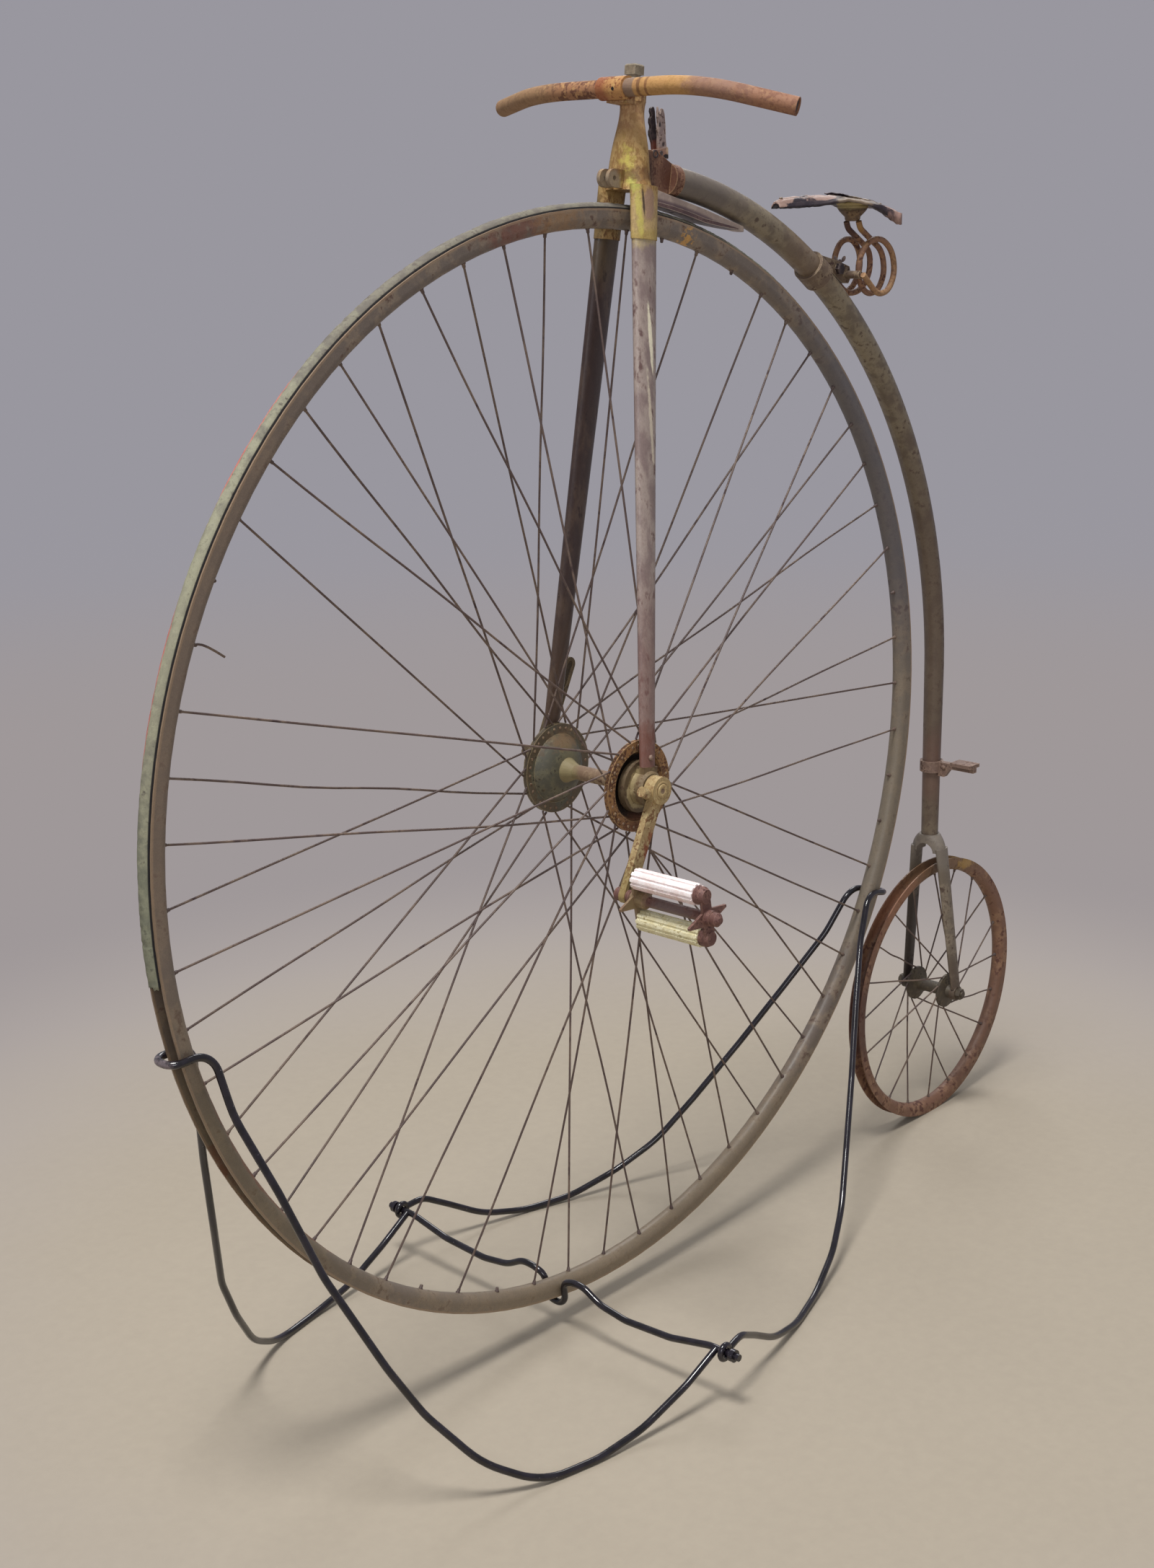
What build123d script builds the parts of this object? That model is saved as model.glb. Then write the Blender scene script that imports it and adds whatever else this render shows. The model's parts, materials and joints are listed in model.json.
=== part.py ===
from build123d import *
import math
import os

# High wheel bicycle standing in its bent-rod display stand. Millimetres, +X forward, +Y to the rider's left,
# +Z up, origin on the floor under the middle of the whole length.
# Shapes are drawn about the front hub unless a comment says otherwise; heights "above the hub" are along Z.

# Front wheel
tyre_radius = 657.5
tyre_proud = 6.5
tyre_fit = 0.3
tyre_first_deg = -6.5
tyre_last_deg = 161.0
rim_width = 22.0
rim_wall = 2.0
rim_side = 11.0
wheel_lift = 28.0

# Front spokes
spoke_count = 60
spoke_radius = 1.3
spoke_lean_deg = 36.0
spoke_weave = 1.5
spoke_seat = 0.25
spokes_missing = (5, 17, 19, 28, 32, 33, 48, 50)
spoke_broken = 4
broken_straight = 24.0
broken_bent = 17.0
broken_turn_deg = 38.0

# Front hub, out from the middle of the wheel
flange_middle = 64.5
flange_thick = 6.0
flange_radius = 54.6
flange_bowl_radius = 42.0
flange_bowl_depth = 16.0
flange_bowl_bend = 0.71
flange_bowl_rise = 5.0
flange_wall = 4.0
barrel_radius = 9.0
flare_radius = 15.0
flare_length = 14.0
flare_step = 2.0
axle_radius = 8.0
axle_half = 104.0

# Fork, about the steering line, which leans back by the rake and passes through the hub
rake_deg = 6.0
crown_clear = 14.5
leg_top_out = 23.5
leg_foot_out = 78.0
socket_length = 53.0
socket_long = 21.0
socket_wide = 10.2
leg_top_long = 19.0
leg_top_wide = 8.5
leg_foot_long = 12.0
leg_foot_wide = 6.0
housing_radius = 21.0
housing_inner = 57.0
housing_outer = 87.5
housing_disc_radius = 31.0
housing_disc_inner = 62.0
housing_disc_outer = 71.2
housing_cap_radius = 18.0
housing_cap = 4.0
housing_pad_height = 25.0
housing_pad = 16.0
running_fit = 0.05
side_play = 0.6

# Head, between the fork's crown and the handlebar's lug
head_height = 97.0
head_top_rise = 13.0
nut_low_radius = 13.5
nut_high_radius = 10.0
nut_height = 11.5
cap_neck = 3.5
cap_across = 15.5
cap_height = 11.5
neck_slot_low = 5.0
neck_slot_height = 42.0
steer_limit_deg = 30.0
pivot_radius = 5.0
pivot_length = 9.0
ear_radius = 10.0
ear_reach = 33.5
ear_thick = 5.0
ear_gap = 8.0
ear_rise = 11.0
ear_hole_radius = 2.6

# Handlebar
lug_ahead = 30.5
lug_radius = 12.8
lug_half = 19.0
lug_above_head = 10.0
lug_fit = 0.1
bar_radius = 10.0
bar_wall = 1.6
bar_straight = 118.0
bar_half = 218.0
bar_sweep_back = 47.0
bar_bend = 230.0
bar_drop_left = 22.7
bar_drop_right = 6.3

# Cranks and the left pedal
crank_throw = 127.5
crank_deg = -63.4
crank_inner = 91.0
crank_thick = 9.0
crank_width = 18.0
crank_boss_radius = 16.5
crank_boss_inner = 88.5
crank_boss_outer = 103.0
crank_tip = 11.0
cotter_radius = 3.4
cotter_head_radius = 6.3
cotter_head_out = 27.5
cotter_bite = 1.0
cotter_tail = 17.5
slot_width = 9.0
slot_length = 34.0
spindle_radius = 4.3
pedal_inner = 113.0
pedal_length = 104.0
pedal_plate = 3.0
block_radius = 12.6
block_cap = 8.0
block_cap_radius = 10.6
block_offset = 26.5
block_flutes = 10
flute_radius = 1.9
pedal_tilt_deg = 10.0
pedal_fit = 0.08
star_reach = 33.0
star_waist = 9.0
star_half = 8.0
star_point = 1.5
cap_radius = 8.0
spindle_collar = 8.0

# Backbone, a tapering tube that follows the wheel and drops to the rear fork
backbone_clear = 33.1
backbone_centre_x = -34.4
backbone_centre_z = -2.4
backbone_first_deg = 99.6
backbone_top = 17.0
backbone_low = 13.9
backbone_end = 12.2
neck_half_thick = 8.0
neck_barrel_radius = 10.5
neck_height = 34.0
neck_flat = 38.0
neck_arm_start = 4.0
neck_core = 16.0
collar_length = 14.0
collar_proud = 1.5
seat_gap = 0.3

# Rear wheel and fork
wheel_gap = 31.0
rear_radius = 198.3
rear_rim_width = 20.0
rear_rim_depth = 19.0
rear_rim_wall = 2.0
rear_spoke_count = 20
rear_spoke_radius = 1.2
rear_spoke_lean_deg = 50.0
rear_flange_out = 26.0
rear_flange_thick = 4.0
rear_flange_radius = 25.0
rear_barrel_radius = 9.0
rear_axle_radius = 4.5
rear_axle_half = 56.0
rear_leg_out = 42.0
rear_leg_thick = 9.0
rear_leg_width = 27.0
rear_foot_width = 21.0
rear_boss_radius = 11.0
rear_crown_out = 18.0
rear_crown_height = 225.0
rear_crown_rise = 19.5
rear_nut_radius = 8.5
rear_nut_thick = 7.0

# Step, saddle, spring and its clamp
step_rise = 102.9
step_reach = 60.0
step_band = 16.0
step_wall = 3.5
step_arm = (9.0, 8.0)
step_pad = (24.0, 34.0, 5.0)
step_gusset_drop = 26.0
clamp_deg = 124.3
saddle_nose_ahead = 79.0
saddle_length = 207.0
saddle_rise = 88.4
saddle_thick = 4.0
spring_back = 105.0
spring_rise = 2.4
spring_coil_radius = 36.5
spring_wire = 3.8
spring_first_out = 9.5
spring_pitch = 16.0
spring_turn_deg = 45
spring_turns = 12
spring_bend = 60.0
boss_back = 83.0
boss_rise = 59.0
boss_half = 20.5
clamp_width = 26.0
clamp_wall = 4.0
clamp_lug_half = 7.0
clamp_pin_back = 60.6
clamp_pin_drop = 6.6
clamp_pin_radius = 5.0

# Stand of bent rod
rod_radius = 4.2
rim_gap = 0.4
cradle_x = 90.0
cradle_clear = 1.0
cross_x = 96.0
cross_height = 66.0
loop_bend = 150.0
cross_bend = 60.0
hook_deg = -13.5
hoop_deg = 206.5
cross_half = 262.0
stub_length = 31.0
knob_radius = 7.5
knob_thick = 6.0
knob_inset = 9.0
weld_gap = 0.1
eye_radius = 8.3
eye_rod = 3.6

# Worked out from the sizes above
rim_outer = tyre_radius - tyre_proud
rim_half = rim_width / 2
rim_centre = rim_outer - rim_side
rim_inner = rim_centre - rim_half
hub_z = wheel_lift + tyre_radius
crown_height = tyre_radius + crown_clear
backbone_radius = tyre_radius + backbone_clear
drop_x = backbone_centre_x - backbone_radius
rear_z = rear_radius - hub_z
rear_x = -math.sqrt((tyre_radius + rear_radius + wheel_gap) ** 2 - rear_z ** 2)
backbone_end_z = rear_z + rear_crown_height + rear_crown_rise + seat_gap
hub_x = (rear_radius - rear_x - tyre_radius) / 2
slot_low = crown_height + neck_slot_low
slot_high = slot_low + neck_slot_height
upward = (Align.CENTER, Align.CENTER, Align.MIN)
downward = (Align.CENTER, Align.CENTER, Align.MAX)


def at_hub(shape):
    """Moves a shape drawn about the front hub to its place over the floor."""
    return Pos(hub_x, 0, hub_z) * shape


def raked(shape):
    """Leans a shape drawn about an upright steering line back by the rake, then places it."""
    return at_hub(Rot(0, -rake_deg, 0) * shape)


def over_floor(x, y, z):
    """A point given ahead of the hub and above the floor, as drawn about the hub."""
    return (x, y, z - hub_z)


def write(name, shape):
    """Writes one sub-part as a STEP file."""
    export_step(shape, f"parts/{name}.step")


def turned(points):
    """A solid turned about the Y axis from (radius, y) corners."""
    return revolve(make_face(Polyline(*points, close=True)), axis=Axis.Y)


def round_bar(start, end, radius):
    """A round bar between two points."""
    run = Vector(*end) - Vector(*start)
    return extrude(Plane(origin=start, z_dir=run) * Circle(radius), amount=run.length)


def across(shape_2d, inner, outer):
    """Extrudes a flat shape drawn in X and Z from one distance along Y to another."""
    return extrude(Plane.XZ.offset(-outer) * shape_2d, amount=outer - inner)


def bend_radii(points, largest):
    """The radius of each bend, as large as the runs beside it allow."""
    radii = []
    for before, corner, after in zip(points, points[1:], points[2:]):
        run_in = Vector(*corner) - Vector(*before)
        run_out = Vector(*after) - Vector(*corner)
        half_turn = math.radians(run_in.get_angle(run_out)) / 2
        shorter = min(run_in.length, run_out.length)
        radii.append(min(largest, 0.45 * shorter / math.tan(half_turn)))
    return radii


def bent_rod(points, radius, largest):
    """A round rod along straight runs joined by tangent arcs."""
    path = FilletPolyline(*points, radius=bend_radii(points, largest))
    return sweep(Plane(origin=path @ 0, z_dir=path % 0) * Circle(radius), path=path)


def mirrored(points):
    """The same points on the other side, in reverse, to close a loop over the middle."""
    return [(x, -y, z) for x, y, z in reversed(points)]


def on_wheel(radius, degrees, y):
    """A point on a wheel, its angle from forward and up over the top."""
    angle = math.radians(degrees)
    return (radius * math.cos(angle), y, radius * math.sin(angle))


# Front rim, tyre and spokes

def channel_rim(outer, width, side, wall):
    """A hollow rim, round on its hub side and open to the tyre."""
    half = width / 2
    middle = outer - side
    inside = half - wall
    outline = [
        Line((outer, half), (middle, half)),
        ThreePointArc((middle, half), (middle - half, 0), (middle, -half)),
        Line((middle, -half), (outer, -half)),
        Line((outer, -half), (outer, -inside)),
        Line((outer, -inside), (middle, -inside)),
        ThreePointArc((middle, -inside), (middle - inside, 0), (middle, inside)),
        Line((middle, inside), (outer, inside)),
        Line((outer, inside), (outer, half)),
    ]
    return revolve(make_face(outline), axis=Axis.Y)


def front_tyre():
    """The length of solid tyre that is left on the rim."""
    half = rim_half - rim_wall - tyre_fit
    crown = tyre_radius - half
    outline = [
        Line((rim_centre, half), (crown, half)),
        ThreePointArc((crown, half), (tyre_radius, 0), (crown, -half)),
        Line((crown, -half), (rim_centre, -half)),
        ThreePointArc((rim_centre, -half), (rim_centre - half, 0), (rim_centre, half)),
    ]
    arc = tyre_last_deg - tyre_first_deg
    return Rot(0, -tyre_last_deg, 0) * revolve(make_face(outline), axis=Axis.Y, revolution_arc=arc)


def laced_spoke(rim_deg, lean_deg, side, sizes):
    """One straight spoke from a flange's edge to the rim's inner face."""
    rim_r, hub_r, hub_out, radius, weave = sizes
    shift = weave if lean_deg > 0 else -weave
    rim_end = Vector(*on_wheel(rim_r, rim_deg, shift))
    hub_end = Vector(*on_wheel(hub_r, rim_deg + lean_deg, side * hub_out + shift))
    run = rim_end - hub_end
    length = run.length
    unit = run.normalized()
    lean = math.acos(Vector(hub_end.X, 0, hub_end.Z).normalized().dot(unit))
    start = hub_end + unit * (radius * math.tan(lean) + spoke_seat)
    return start, unit, length - (start - hub_end).length - spoke_seat, radius


def front_spokes(side):
    """All the spokes of one flange: even rim places go to the right flange, odd ones to the left."""
    sizes = (rim_inner, flange_radius, flange_middle, spoke_radius, spoke_weave)
    solids = []
    for place in range(0 if side < 0 else 1, spoke_count, 2):
        if place in spokes_missing:
            continue
        forward = (place // 2) % 2 == (0 if side < 0 else 1)
        lean = spoke_lean_deg if forward else -spoke_lean_deg
        start, unit, length, radius = laced_spoke(place * 360 / spoke_count, lean, side, sizes)
        if place == spoke_broken:
            solids.append(broken_spoke(start + unit * length, unit, radius))
            continue
        solids.append(extrude(Plane(origin=start, z_dir=unit) * Circle(radius), amount=length).solid())
    return Compound(children=solids)


def broken_spoke(rim_end, unit, radius):
    """What is left of a broken spoke: a stub at the rim with its free end bent down."""
    bend = rim_end - unit * broken_straight
    droop = (-unit).rotate(Axis.Y, broken_turn_deg)
    tip = bend + droop * broken_bent
    return bent_rod([tuple(rim_end), tuple(bend), tuple(tip)], radius, broken_bent / 2).solid()


write_list = []


def add(name, shape):
    """Keeps a sub-part to be written."""
    write_list.append((name, shape))


add("front_rim", at_hub(channel_rim(rim_outer, rim_width, rim_side, rim_wall)))
add("front_tyre", at_hub(front_tyre()))
add("front_spokes_left", at_hub(front_spokes(1)))
add("front_spokes_right", at_hub(front_spokes(-1)))


# Front hub: two dished flanges on a flared barrel, with the axle's ends standing out

def flange():
    """A dished flange with a thick edge that takes the spokes."""
    face = flange_middle - flange_thick / 2
    back = flange_middle + flange_thick / 2
    floor = face - flange_bowl_depth
    bend = flange_bowl_bend * flange_bowl_radius
    outline = [
        Line((flange_radius, face), (flange_bowl_radius, face)),
        ThreePointArc((flange_bowl_radius, face), (bend, floor + flange_bowl_rise), (flare_radius, floor)),
        Line((flare_radius, floor), (flare_radius, floor + flange_wall)),
        ThreePointArc((flare_radius, floor + flange_wall), (bend, floor + flange_bowl_rise + flange_wall),
                      (flange_bowl_radius, back)),
        Line((flange_bowl_radius, back), (flange_radius, back)),
        Line((flange_radius, back), (flange_radius, face)),
    ]
    return revolve(make_face(outline), axis=Axis.Y)


flange_floor = flange_middle - flange_thick / 2 - flange_bowl_depth
half_axle = [
    (0, 0), (barrel_radius, 0), (barrel_radius, flange_floor - flare_length), (flare_radius, flange_floor),
    (flare_radius, flange_floor + flange_wall), (axle_radius, flange_floor + flange_wall + flare_step),
    (axle_radius, axle_half), (0, axle_half),
]
axle_side = turned(half_axle)
add("front_axle", at_hub(axle_side + mirror(axle_side, about=Plane.XZ)))
for side_name, turn in (("left", 0), ("right", 180)):
    add(f"hub_flange_{side_name}", at_hub(Rot(0, 0, turn) * flange()))


# Fork: head forging with two oval sockets, two tapering oval legs and two bearing housings

socket_low = crown_height - socket_length


def leg_out(height):
    """How far out from the middle the leg's own middle is at a height on the steering line."""
    share = (crown_height - height) / (crown_height - housing_pad_height)
    return leg_top_out + share * (leg_foot_out - leg_top_out)


def oval(height, out, long_half, wide_half):
    """An oval section of a leg or socket."""
    return Pos(0, out, height) * Ellipse(long_half, wide_half)


def fork_leg():
    """One leg, from its socket to the bearing housing."""
    return loft([
        oval(socket_low, leg_out(socket_low), leg_top_long, leg_top_wide),
        oval(housing_pad_height, leg_out(housing_pad_height), leg_foot_long, leg_foot_wide),
    ])


def bearing_housing():
    """The round housing at a leg's foot, with the pad that the leg stands on."""
    body = turned([
        (axle_radius + running_fit, housing_inner), (housing_radius, housing_inner),
        (housing_radius, housing_disc_inner), (housing_disc_radius, housing_disc_inner),
        (housing_disc_radius, housing_disc_outer), (housing_radius, housing_disc_outer),
        (housing_radius, housing_outer - housing_cap), (housing_cap_radius, housing_outer),
        (axle_radius + running_fit, housing_outer),
    ])
    foot = leg_out(housing_pad_height)
    pad = Pos(0, foot, housing_pad_height - housing_pad / 2) * Box(
        2 * leg_foot_long, 2 * leg_foot_wide, housing_pad)
    hole = Rot(90, 0, 0) * Cylinder(axle_radius + running_fit, 4 * housing_outer)
    return body + pad - hole


# Sections of the head, from the crown to the lug: height above the crown, half length, half width
head_sections = (
    (0.0, 20.0, leg_top_out + socket_wide),
    (16.0, 18.0, 28.0),
    (48.0, 16.5, 22.5),
    (72.0, 15.0, 15.5),
    (head_height, 15.0, 15.0),
)


def swept_by_neck(height):
    """The plan of the opening in the head, wide enough for the neck at both steering limits."""
    clear = neck_half_thick + side_play + 0.6
    reach = 3 * leg_top_out
    shape = Circle(neck_barrel_radius + side_play)
    for turn in (-steer_limit_deg, 0, steer_limit_deg):
        shape += Rot(0, 0, turn) * (Pos(-reach / 2, 0) * Rectangle(reach, 2 * clear))
    wedge = Polygon((0, 0), (-reach, reach * math.tan(math.radians(steer_limit_deg))),
                    (-reach, -reach * math.tan(math.radians(steer_limit_deg))), align=None)
    return extrude(Pos(0, 0, slot_low) * (shape + wedge), amount=height)


def fork_head():
    """The head forging: sockets, tapering pillar, brake ears and the opening for the neck."""
    body = loft([Pos(0, 0, crown_height + rise) * Ellipse(long_half, wide_half)
                 for rise, long_half, wide_half in head_sections])
    for side in (1, -1):
        body += loft([
            oval(crown_height + 6.0, side * leg_out(crown_height), socket_long, socket_wide),
            oval(socket_low, side * leg_out(socket_low), socket_long - 1.0, socket_wide - 0.7),
        ])
    ear_plan = Pos(ear_reach / 2, crown_height + ear_rise) * SlotOverall(
        ear_reach + 2 * ear_radius, 2 * ear_radius)
    ear_hole = Pos(ear_reach, crown_height + ear_rise) * Circle(ear_hole_radius)
    for side in (1, -1):
        ends = sorted((side * ear_gap / 2, side * (ear_gap / 2 + ear_thick)))
        body += across(ear_plan - ear_hole, *ends)
    top_radius = head_sections[-1][1]
    top_low = head_height - 1.0
    bridge = Pos(lug_ahead / 2, 0, crown_height + top_low - 4.0) * Box(
        lug_ahead, 1.6 * top_radius, 1.2 * top_radius, align=upward)
    top = Pos(0, 0, crown_height + top_low) * Cylinder(top_radius, head_top_rise + 1.0, align=upward)
    bar_space = Pos(lug_ahead, 0, lug_height) * (Rot(90, 0, 0) * Cylinder(lug_radius, 4 * lug_half))
    body = body + bridge + top - swept_by_neck(neck_slot_height) - bar_space
    bore = Cylinder(pivot_radius + running_fit, head_height, align=upward)
    body -= Pos(0, 0, slot_high - pivot_length / 2) * bore
    sunk = pivot_length / 4
    stub = Pos(0, 0, slot_low + (pivot_length - sunk) / 2) * Cylinder(pivot_radius, pivot_length + sunk)
    return body + stub


lug_height = crown_height + head_height + lug_above_head
add("fork_head", raked(fork_head()))
for side_name, turn in (("left", 1), ("right", -1)):
    leg = fork_leg()
    housing = bearing_housing()
    if turn < 0:
        leg = mirror(leg, about=Plane.XZ)
        housing = mirror(housing, about=Plane.XZ)
    add(f"fork_leg_{side_name}", raked(leg))
    add(f"bearing_housing_{side_name}", raked(housing))


# Head bolt with its lock nut, handlebar lug and handlebar

def head_bolt():
    """The adjusting bolt through the head into the neck, with a cone-shaped lock nut."""
    top = crown_height + head_height + head_top_rise
    low = slot_high - pivot_length
    body = Pos(0, 0, low) * Cylinder(pivot_radius, top - low, align=upward)
    body += Pos(0, 0, top) * Cone(nut_low_radius, nut_high_radius, nut_height, align=upward)
    body += Pos(0, 0, top + nut_height) * Cylinder(cap_across * 0.46, cap_neck, align=upward)
    square = Pos(0, 0, top + nut_height + cap_neck) * Rectangle(cap_across, cap_across)
    cap = extrude(square, amount=cap_height)
    return body + chamfer(cap.edges().group_by(Axis.Z)[-1], cap_across / 10)


def handlebar_lug():
    """The sleeve in front of the head that holds the bar."""
    sleeve = Cylinder(lug_radius - lug_fit, 2 * lug_half) - Cylinder(bar_radius + running_fit, 2 * lug_half)
    return Pos(lug_ahead, 0, lug_height) * (Rot(90, 0, 0) * sleeve)


def handlebar_path():
    """The bar's middle line, straight through the lug and swept back, its left end lower than its right."""
    back = lug_ahead - bar_sweep_back
    return [(back, bar_half, lug_height - bar_drop_left), (lug_ahead, bar_straight, lug_height),
            (lug_ahead, -bar_straight, lug_height), (back, -bar_half, lug_height - bar_drop_right)]


def handlebar():
    """An open tube with bare ends."""
    outer = bent_rod(handlebar_path(), bar_radius, bar_bend)
    inner = bent_rod(handlebar_path(), bar_radius - bar_wall, bar_bend)
    return outer - inner


add("head_bolt", raked(head_bolt()))
add("handlebar_lug", raked(handlebar_lug()))
add("handlebar", raked(handlebar()))


# Cranks on the axle's ends and the pedal on the left one

def crank():
    """A crank with its boss, cotter and open slot, pointing forward before it is turned."""
    tip = crank_throw + crank_tip
    arm = Pos(crank_throw / 2, 0) * SlotCenterToCenter(crank_throw, crank_width)
    slot = Pos(tip - crank_tip - slot_length / 2 + slot_width / 2, 0) * SlotOverall(slot_length, slot_width)
    body = across(arm - slot, crank_inner, crank_inner + crank_thick)
    body += turned([(0, crank_boss_inner), (crank_boss_radius, crank_boss_inner),
                    (crank_boss_radius, crank_boss_outer), (0, crank_boss_outer)])
    cotter_y = (crank_boss_inner + crank_boss_outer) / 2
    cotter_x = axle_radius + cotter_bite
    body += Pos(cotter_x, cotter_y, -cotter_tail) * Cylinder(
        cotter_radius, cotter_tail + cotter_head_out, align=upward)
    body += Pos(cotter_x, cotter_y, cotter_head_out) * Cylinder(
        cotter_head_radius, cotter_head_out - crank_boss_radius, align=downward)
    return body - Rot(90, 0, 0) * Cylinder(axle_radius + running_fit, 4 * axle_half)


left_crank = Rot(0, -crank_deg, 0) * crank()
add("crank_left", at_hub(left_crank))
add("crank_right", at_hub(Rot(180, 0, 0) * (Rot(0, 180 + crank_deg, 0) * crank())))

spindle_at = on_wheel(crank_throw, crank_deg, 0)
pedal_outer = pedal_inner + pedal_length
spindle_end = pedal_outer + 6.0


def pedal_spindle():
    """The spindle clamped in the crank's slot, which the pedal turns on."""
    back = crank_inner + crank_thick
    return turned([
        (0, crank_inner - spindle_collar), (spindle_collar, crank_inner - spindle_collar),
        (spindle_collar, crank_inner), (spindle_radius, crank_inner), (spindle_radius, back),
        (spindle_collar, back), (spindle_collar, back + spindle_radius),
        (spindle_radius, back + 1.5 * spindle_radius),
        (spindle_radius, spindle_end), (0, spindle_end),
    ])


def pedal_star():
    """The flat of an end plate: two pointed ears and two arms to the rubber blocks."""
    ears = Polygon((-star_reach, -star_point), (-star_waist, -star_half), (star_waist, -star_half),
                   (star_reach, -star_point), (star_reach, star_point), (star_waist, star_half),
                   (-star_waist, star_half), (-star_reach, star_point), align=None)
    arms = SlotCenterToCenter(2 * block_offset, 2 * cap_radius, rotation=90)
    return ears + arms


def pedal_frame():
    """The end plates, the sleeve between them and the dust cap."""
    bore = spindle_radius + pedal_fit
    sleeve = 1.5 * spindle_radius
    body = across(pedal_star(), pedal_inner, pedal_inner + pedal_plate)
    body += across(pedal_star(), pedal_outer - pedal_plate, pedal_outer)
    # Corners of the sleeve and of the cap: radius, distance out along the spindle
    body += turned([
        (0, pedal_inner - 5.0), (9.5, pedal_inner - 5.0), (10.0, pedal_inner + 14.0),
        (sleeve, pedal_inner + 17.0), (sleeve, pedal_outer - 8.0), (9.5, pedal_outer),
        (9.0, pedal_outer + 7.0), (0, pedal_outer + 7.0),
    ])
    body += turned([
        (0, pedal_outer + 7.0), (cap_radius, pedal_outer + 7.0), (cap_radius, pedal_outer + 14.0),
        (4.0, pedal_outer + 18.0), (0, pedal_outer + 18.0),
    ])
    cap_in = pedal_outer - pedal_plate - block_cap
    for side in (1, -1):
        body += Pos(0, 0, side * block_offset) * turned([
            (0, cap_in), (block_cap_radius, cap_in), (block_cap_radius, pedal_outer - pedal_plate),
            (cap_radius, pedal_outer + 2.0), (0, pedal_outer + 2.0)])
    shaft = spindle_end + side_play
    return body - turned([(0, 0), (bore, 0), (bore, shaft), (0, shaft)])


def pedal_block():
    """One fluted rubber block between the end plates."""
    plan = Circle(block_radius)
    for flute in range(block_flutes):
        plan -= Rot(0, 0, flute * 360 / block_flutes) * (Pos(block_radius, 0) * Circle(flute_radius))
    return across(plan, pedal_inner + pedal_plate, pedal_outer - pedal_plate - block_cap)


def at_pedal(shape):
    """Places a shape drawn about the pedal's spindle."""
    return at_hub(Pos(*spindle_at) * (Rot(0, pedal_tilt_deg, 0) * shape))


add("pedal_spindle", at_pedal(pedal_spindle()))
add("pedal_frame", at_pedal(pedal_frame()))
add("pedal_block_upper", at_pedal(Pos(0, 0, block_offset) * pedal_block()))
add("pedal_block_lower", at_pedal(Pos(0, 0, -block_offset) * pedal_block()))


# Neck, backbone and what is fixed to them

def backbone():
    """A tapering tube round the wheel, then straight down to the rear fork."""
    arc = Plane.XZ * CenterArc((backbone_centre_x, backbone_centre_z), backbone_radius,
                               backbone_first_deg, 180 - backbone_first_deg)
    ends = [Plane(origin=arc @ 0, z_dir=arc % 0) * Circle(backbone_top),
            Plane(origin=arc @ 1, z_dir=arc % 1) * Circle(backbone_low)]
    drop = Pos(drop_x, 0, (backbone_centre_z + backbone_end_z) / 2)
    tube = Cone(backbone_end, backbone_low, backbone_centre_z - backbone_end_z)
    return sweep(ends, path=arc, multisection=True) + drop * tube


def drop_radius(height):
    """The backbone's radius at a height above the hub on its straight part."""
    share = (height - backbone_end_z) / (backbone_centre_z - backbone_end_z)
    return backbone_end + share * (backbone_low - backbone_end)


def taper_radius(degrees):
    """The backbone's own radius at an angle round its curve."""
    share = (degrees - backbone_first_deg) / (180 - backbone_first_deg)
    return backbone_top + share * (backbone_low - backbone_top)


def backbone_point(degrees, out):
    """A point beside the backbone's middle line, out from the centre of its curve."""
    x, y, z = on_wheel(backbone_radius + out, degrees, 0)
    return (backbone_centre_x + x, y, backbone_centre_z + z)


def on_line(along, height):
    """A point of the steering line's own frame, as drawn about the hub."""
    angle = math.radians(rake_deg)
    return (along * math.cos(angle) - height * math.sin(angle), 0,
            along * math.sin(angle) + height * math.cos(angle))


def neck():
    """The neck forging: a barrel on the steering line, an arm and the collar that holds the backbone."""
    low = slot_low + seat_gap
    high = slot_high - seat_gap
    middle = (low + high) / 2
    barrel = Pos(0, 0, middle) * Cylinder(neck_barrel_radius, high - low)
    for pivot_z in (low + pivot_length / 2 - seat_gap / 2, high - pivot_length / 2 + seat_gap / 2):
        barrel -= Pos(0, 0, pivot_z) * Cylinder(pivot_radius + running_fit, pivot_length + seat_gap)
    front = [on_line(-neck_flat, low), on_line(-neck_arm_start, low),
             on_line(-neck_arm_start, high), on_line(-neck_flat, high)]
    tube = Vector(*backbone_point(backbone_first_deg, 0))
    angle = math.radians(backbone_first_deg)
    forward = Vector(math.sin(angle), 0, -math.cos(angle))
    lift = Vector(math.cos(angle), 0, math.sin(angle))
    joint = tube + forward * (collar_length + seat_gap)
    upper = joint + lift * (neck_height / 2)
    lower = joint - lift * (neck_height / 2)
    corners = [(p[0], p[2]) for p in front] + [(upper.X, upper.Z), (lower.X, lower.Z)]
    arm = across(make_face(Polyline(*corners, close=True)), -neck_half_thick, neck_half_thick)
    collar_at = Plane(origin=tube + forward * seat_gap, z_dir=forward)
    collar = extrude(collar_at * Circle(backbone_top + collar_proud), amount=collar_length)
    barrel_hub = Rot(0, -rake_deg, 0) * barrel
    pins = Pos(0, 0, middle) * Cylinder(pivot_radius + running_fit, 3 * (high - low))
    core = Pos(0, 0, middle) * Cylinder(neck_barrel_radius - running_fit, neck_core)
    return at_hub((arm - Rot(0, -rake_deg, 0) * pins) + barrel_hub + Rot(0, -rake_deg, 0) * core + collar)


add("neck", neck())
add("backbone", at_hub(backbone()))

# Blade under the neck, a narrow trough with a rounded tip.
# Columns: degrees round the wheel, clearance under it, depth of its sides
trough_sections = ((99.5, 7.5, 13.0), (107.2, 7.3, 11.0), (114.0, 20.0, 4.5))
trough_half = 9.5
trough_wall = 2.0


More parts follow.
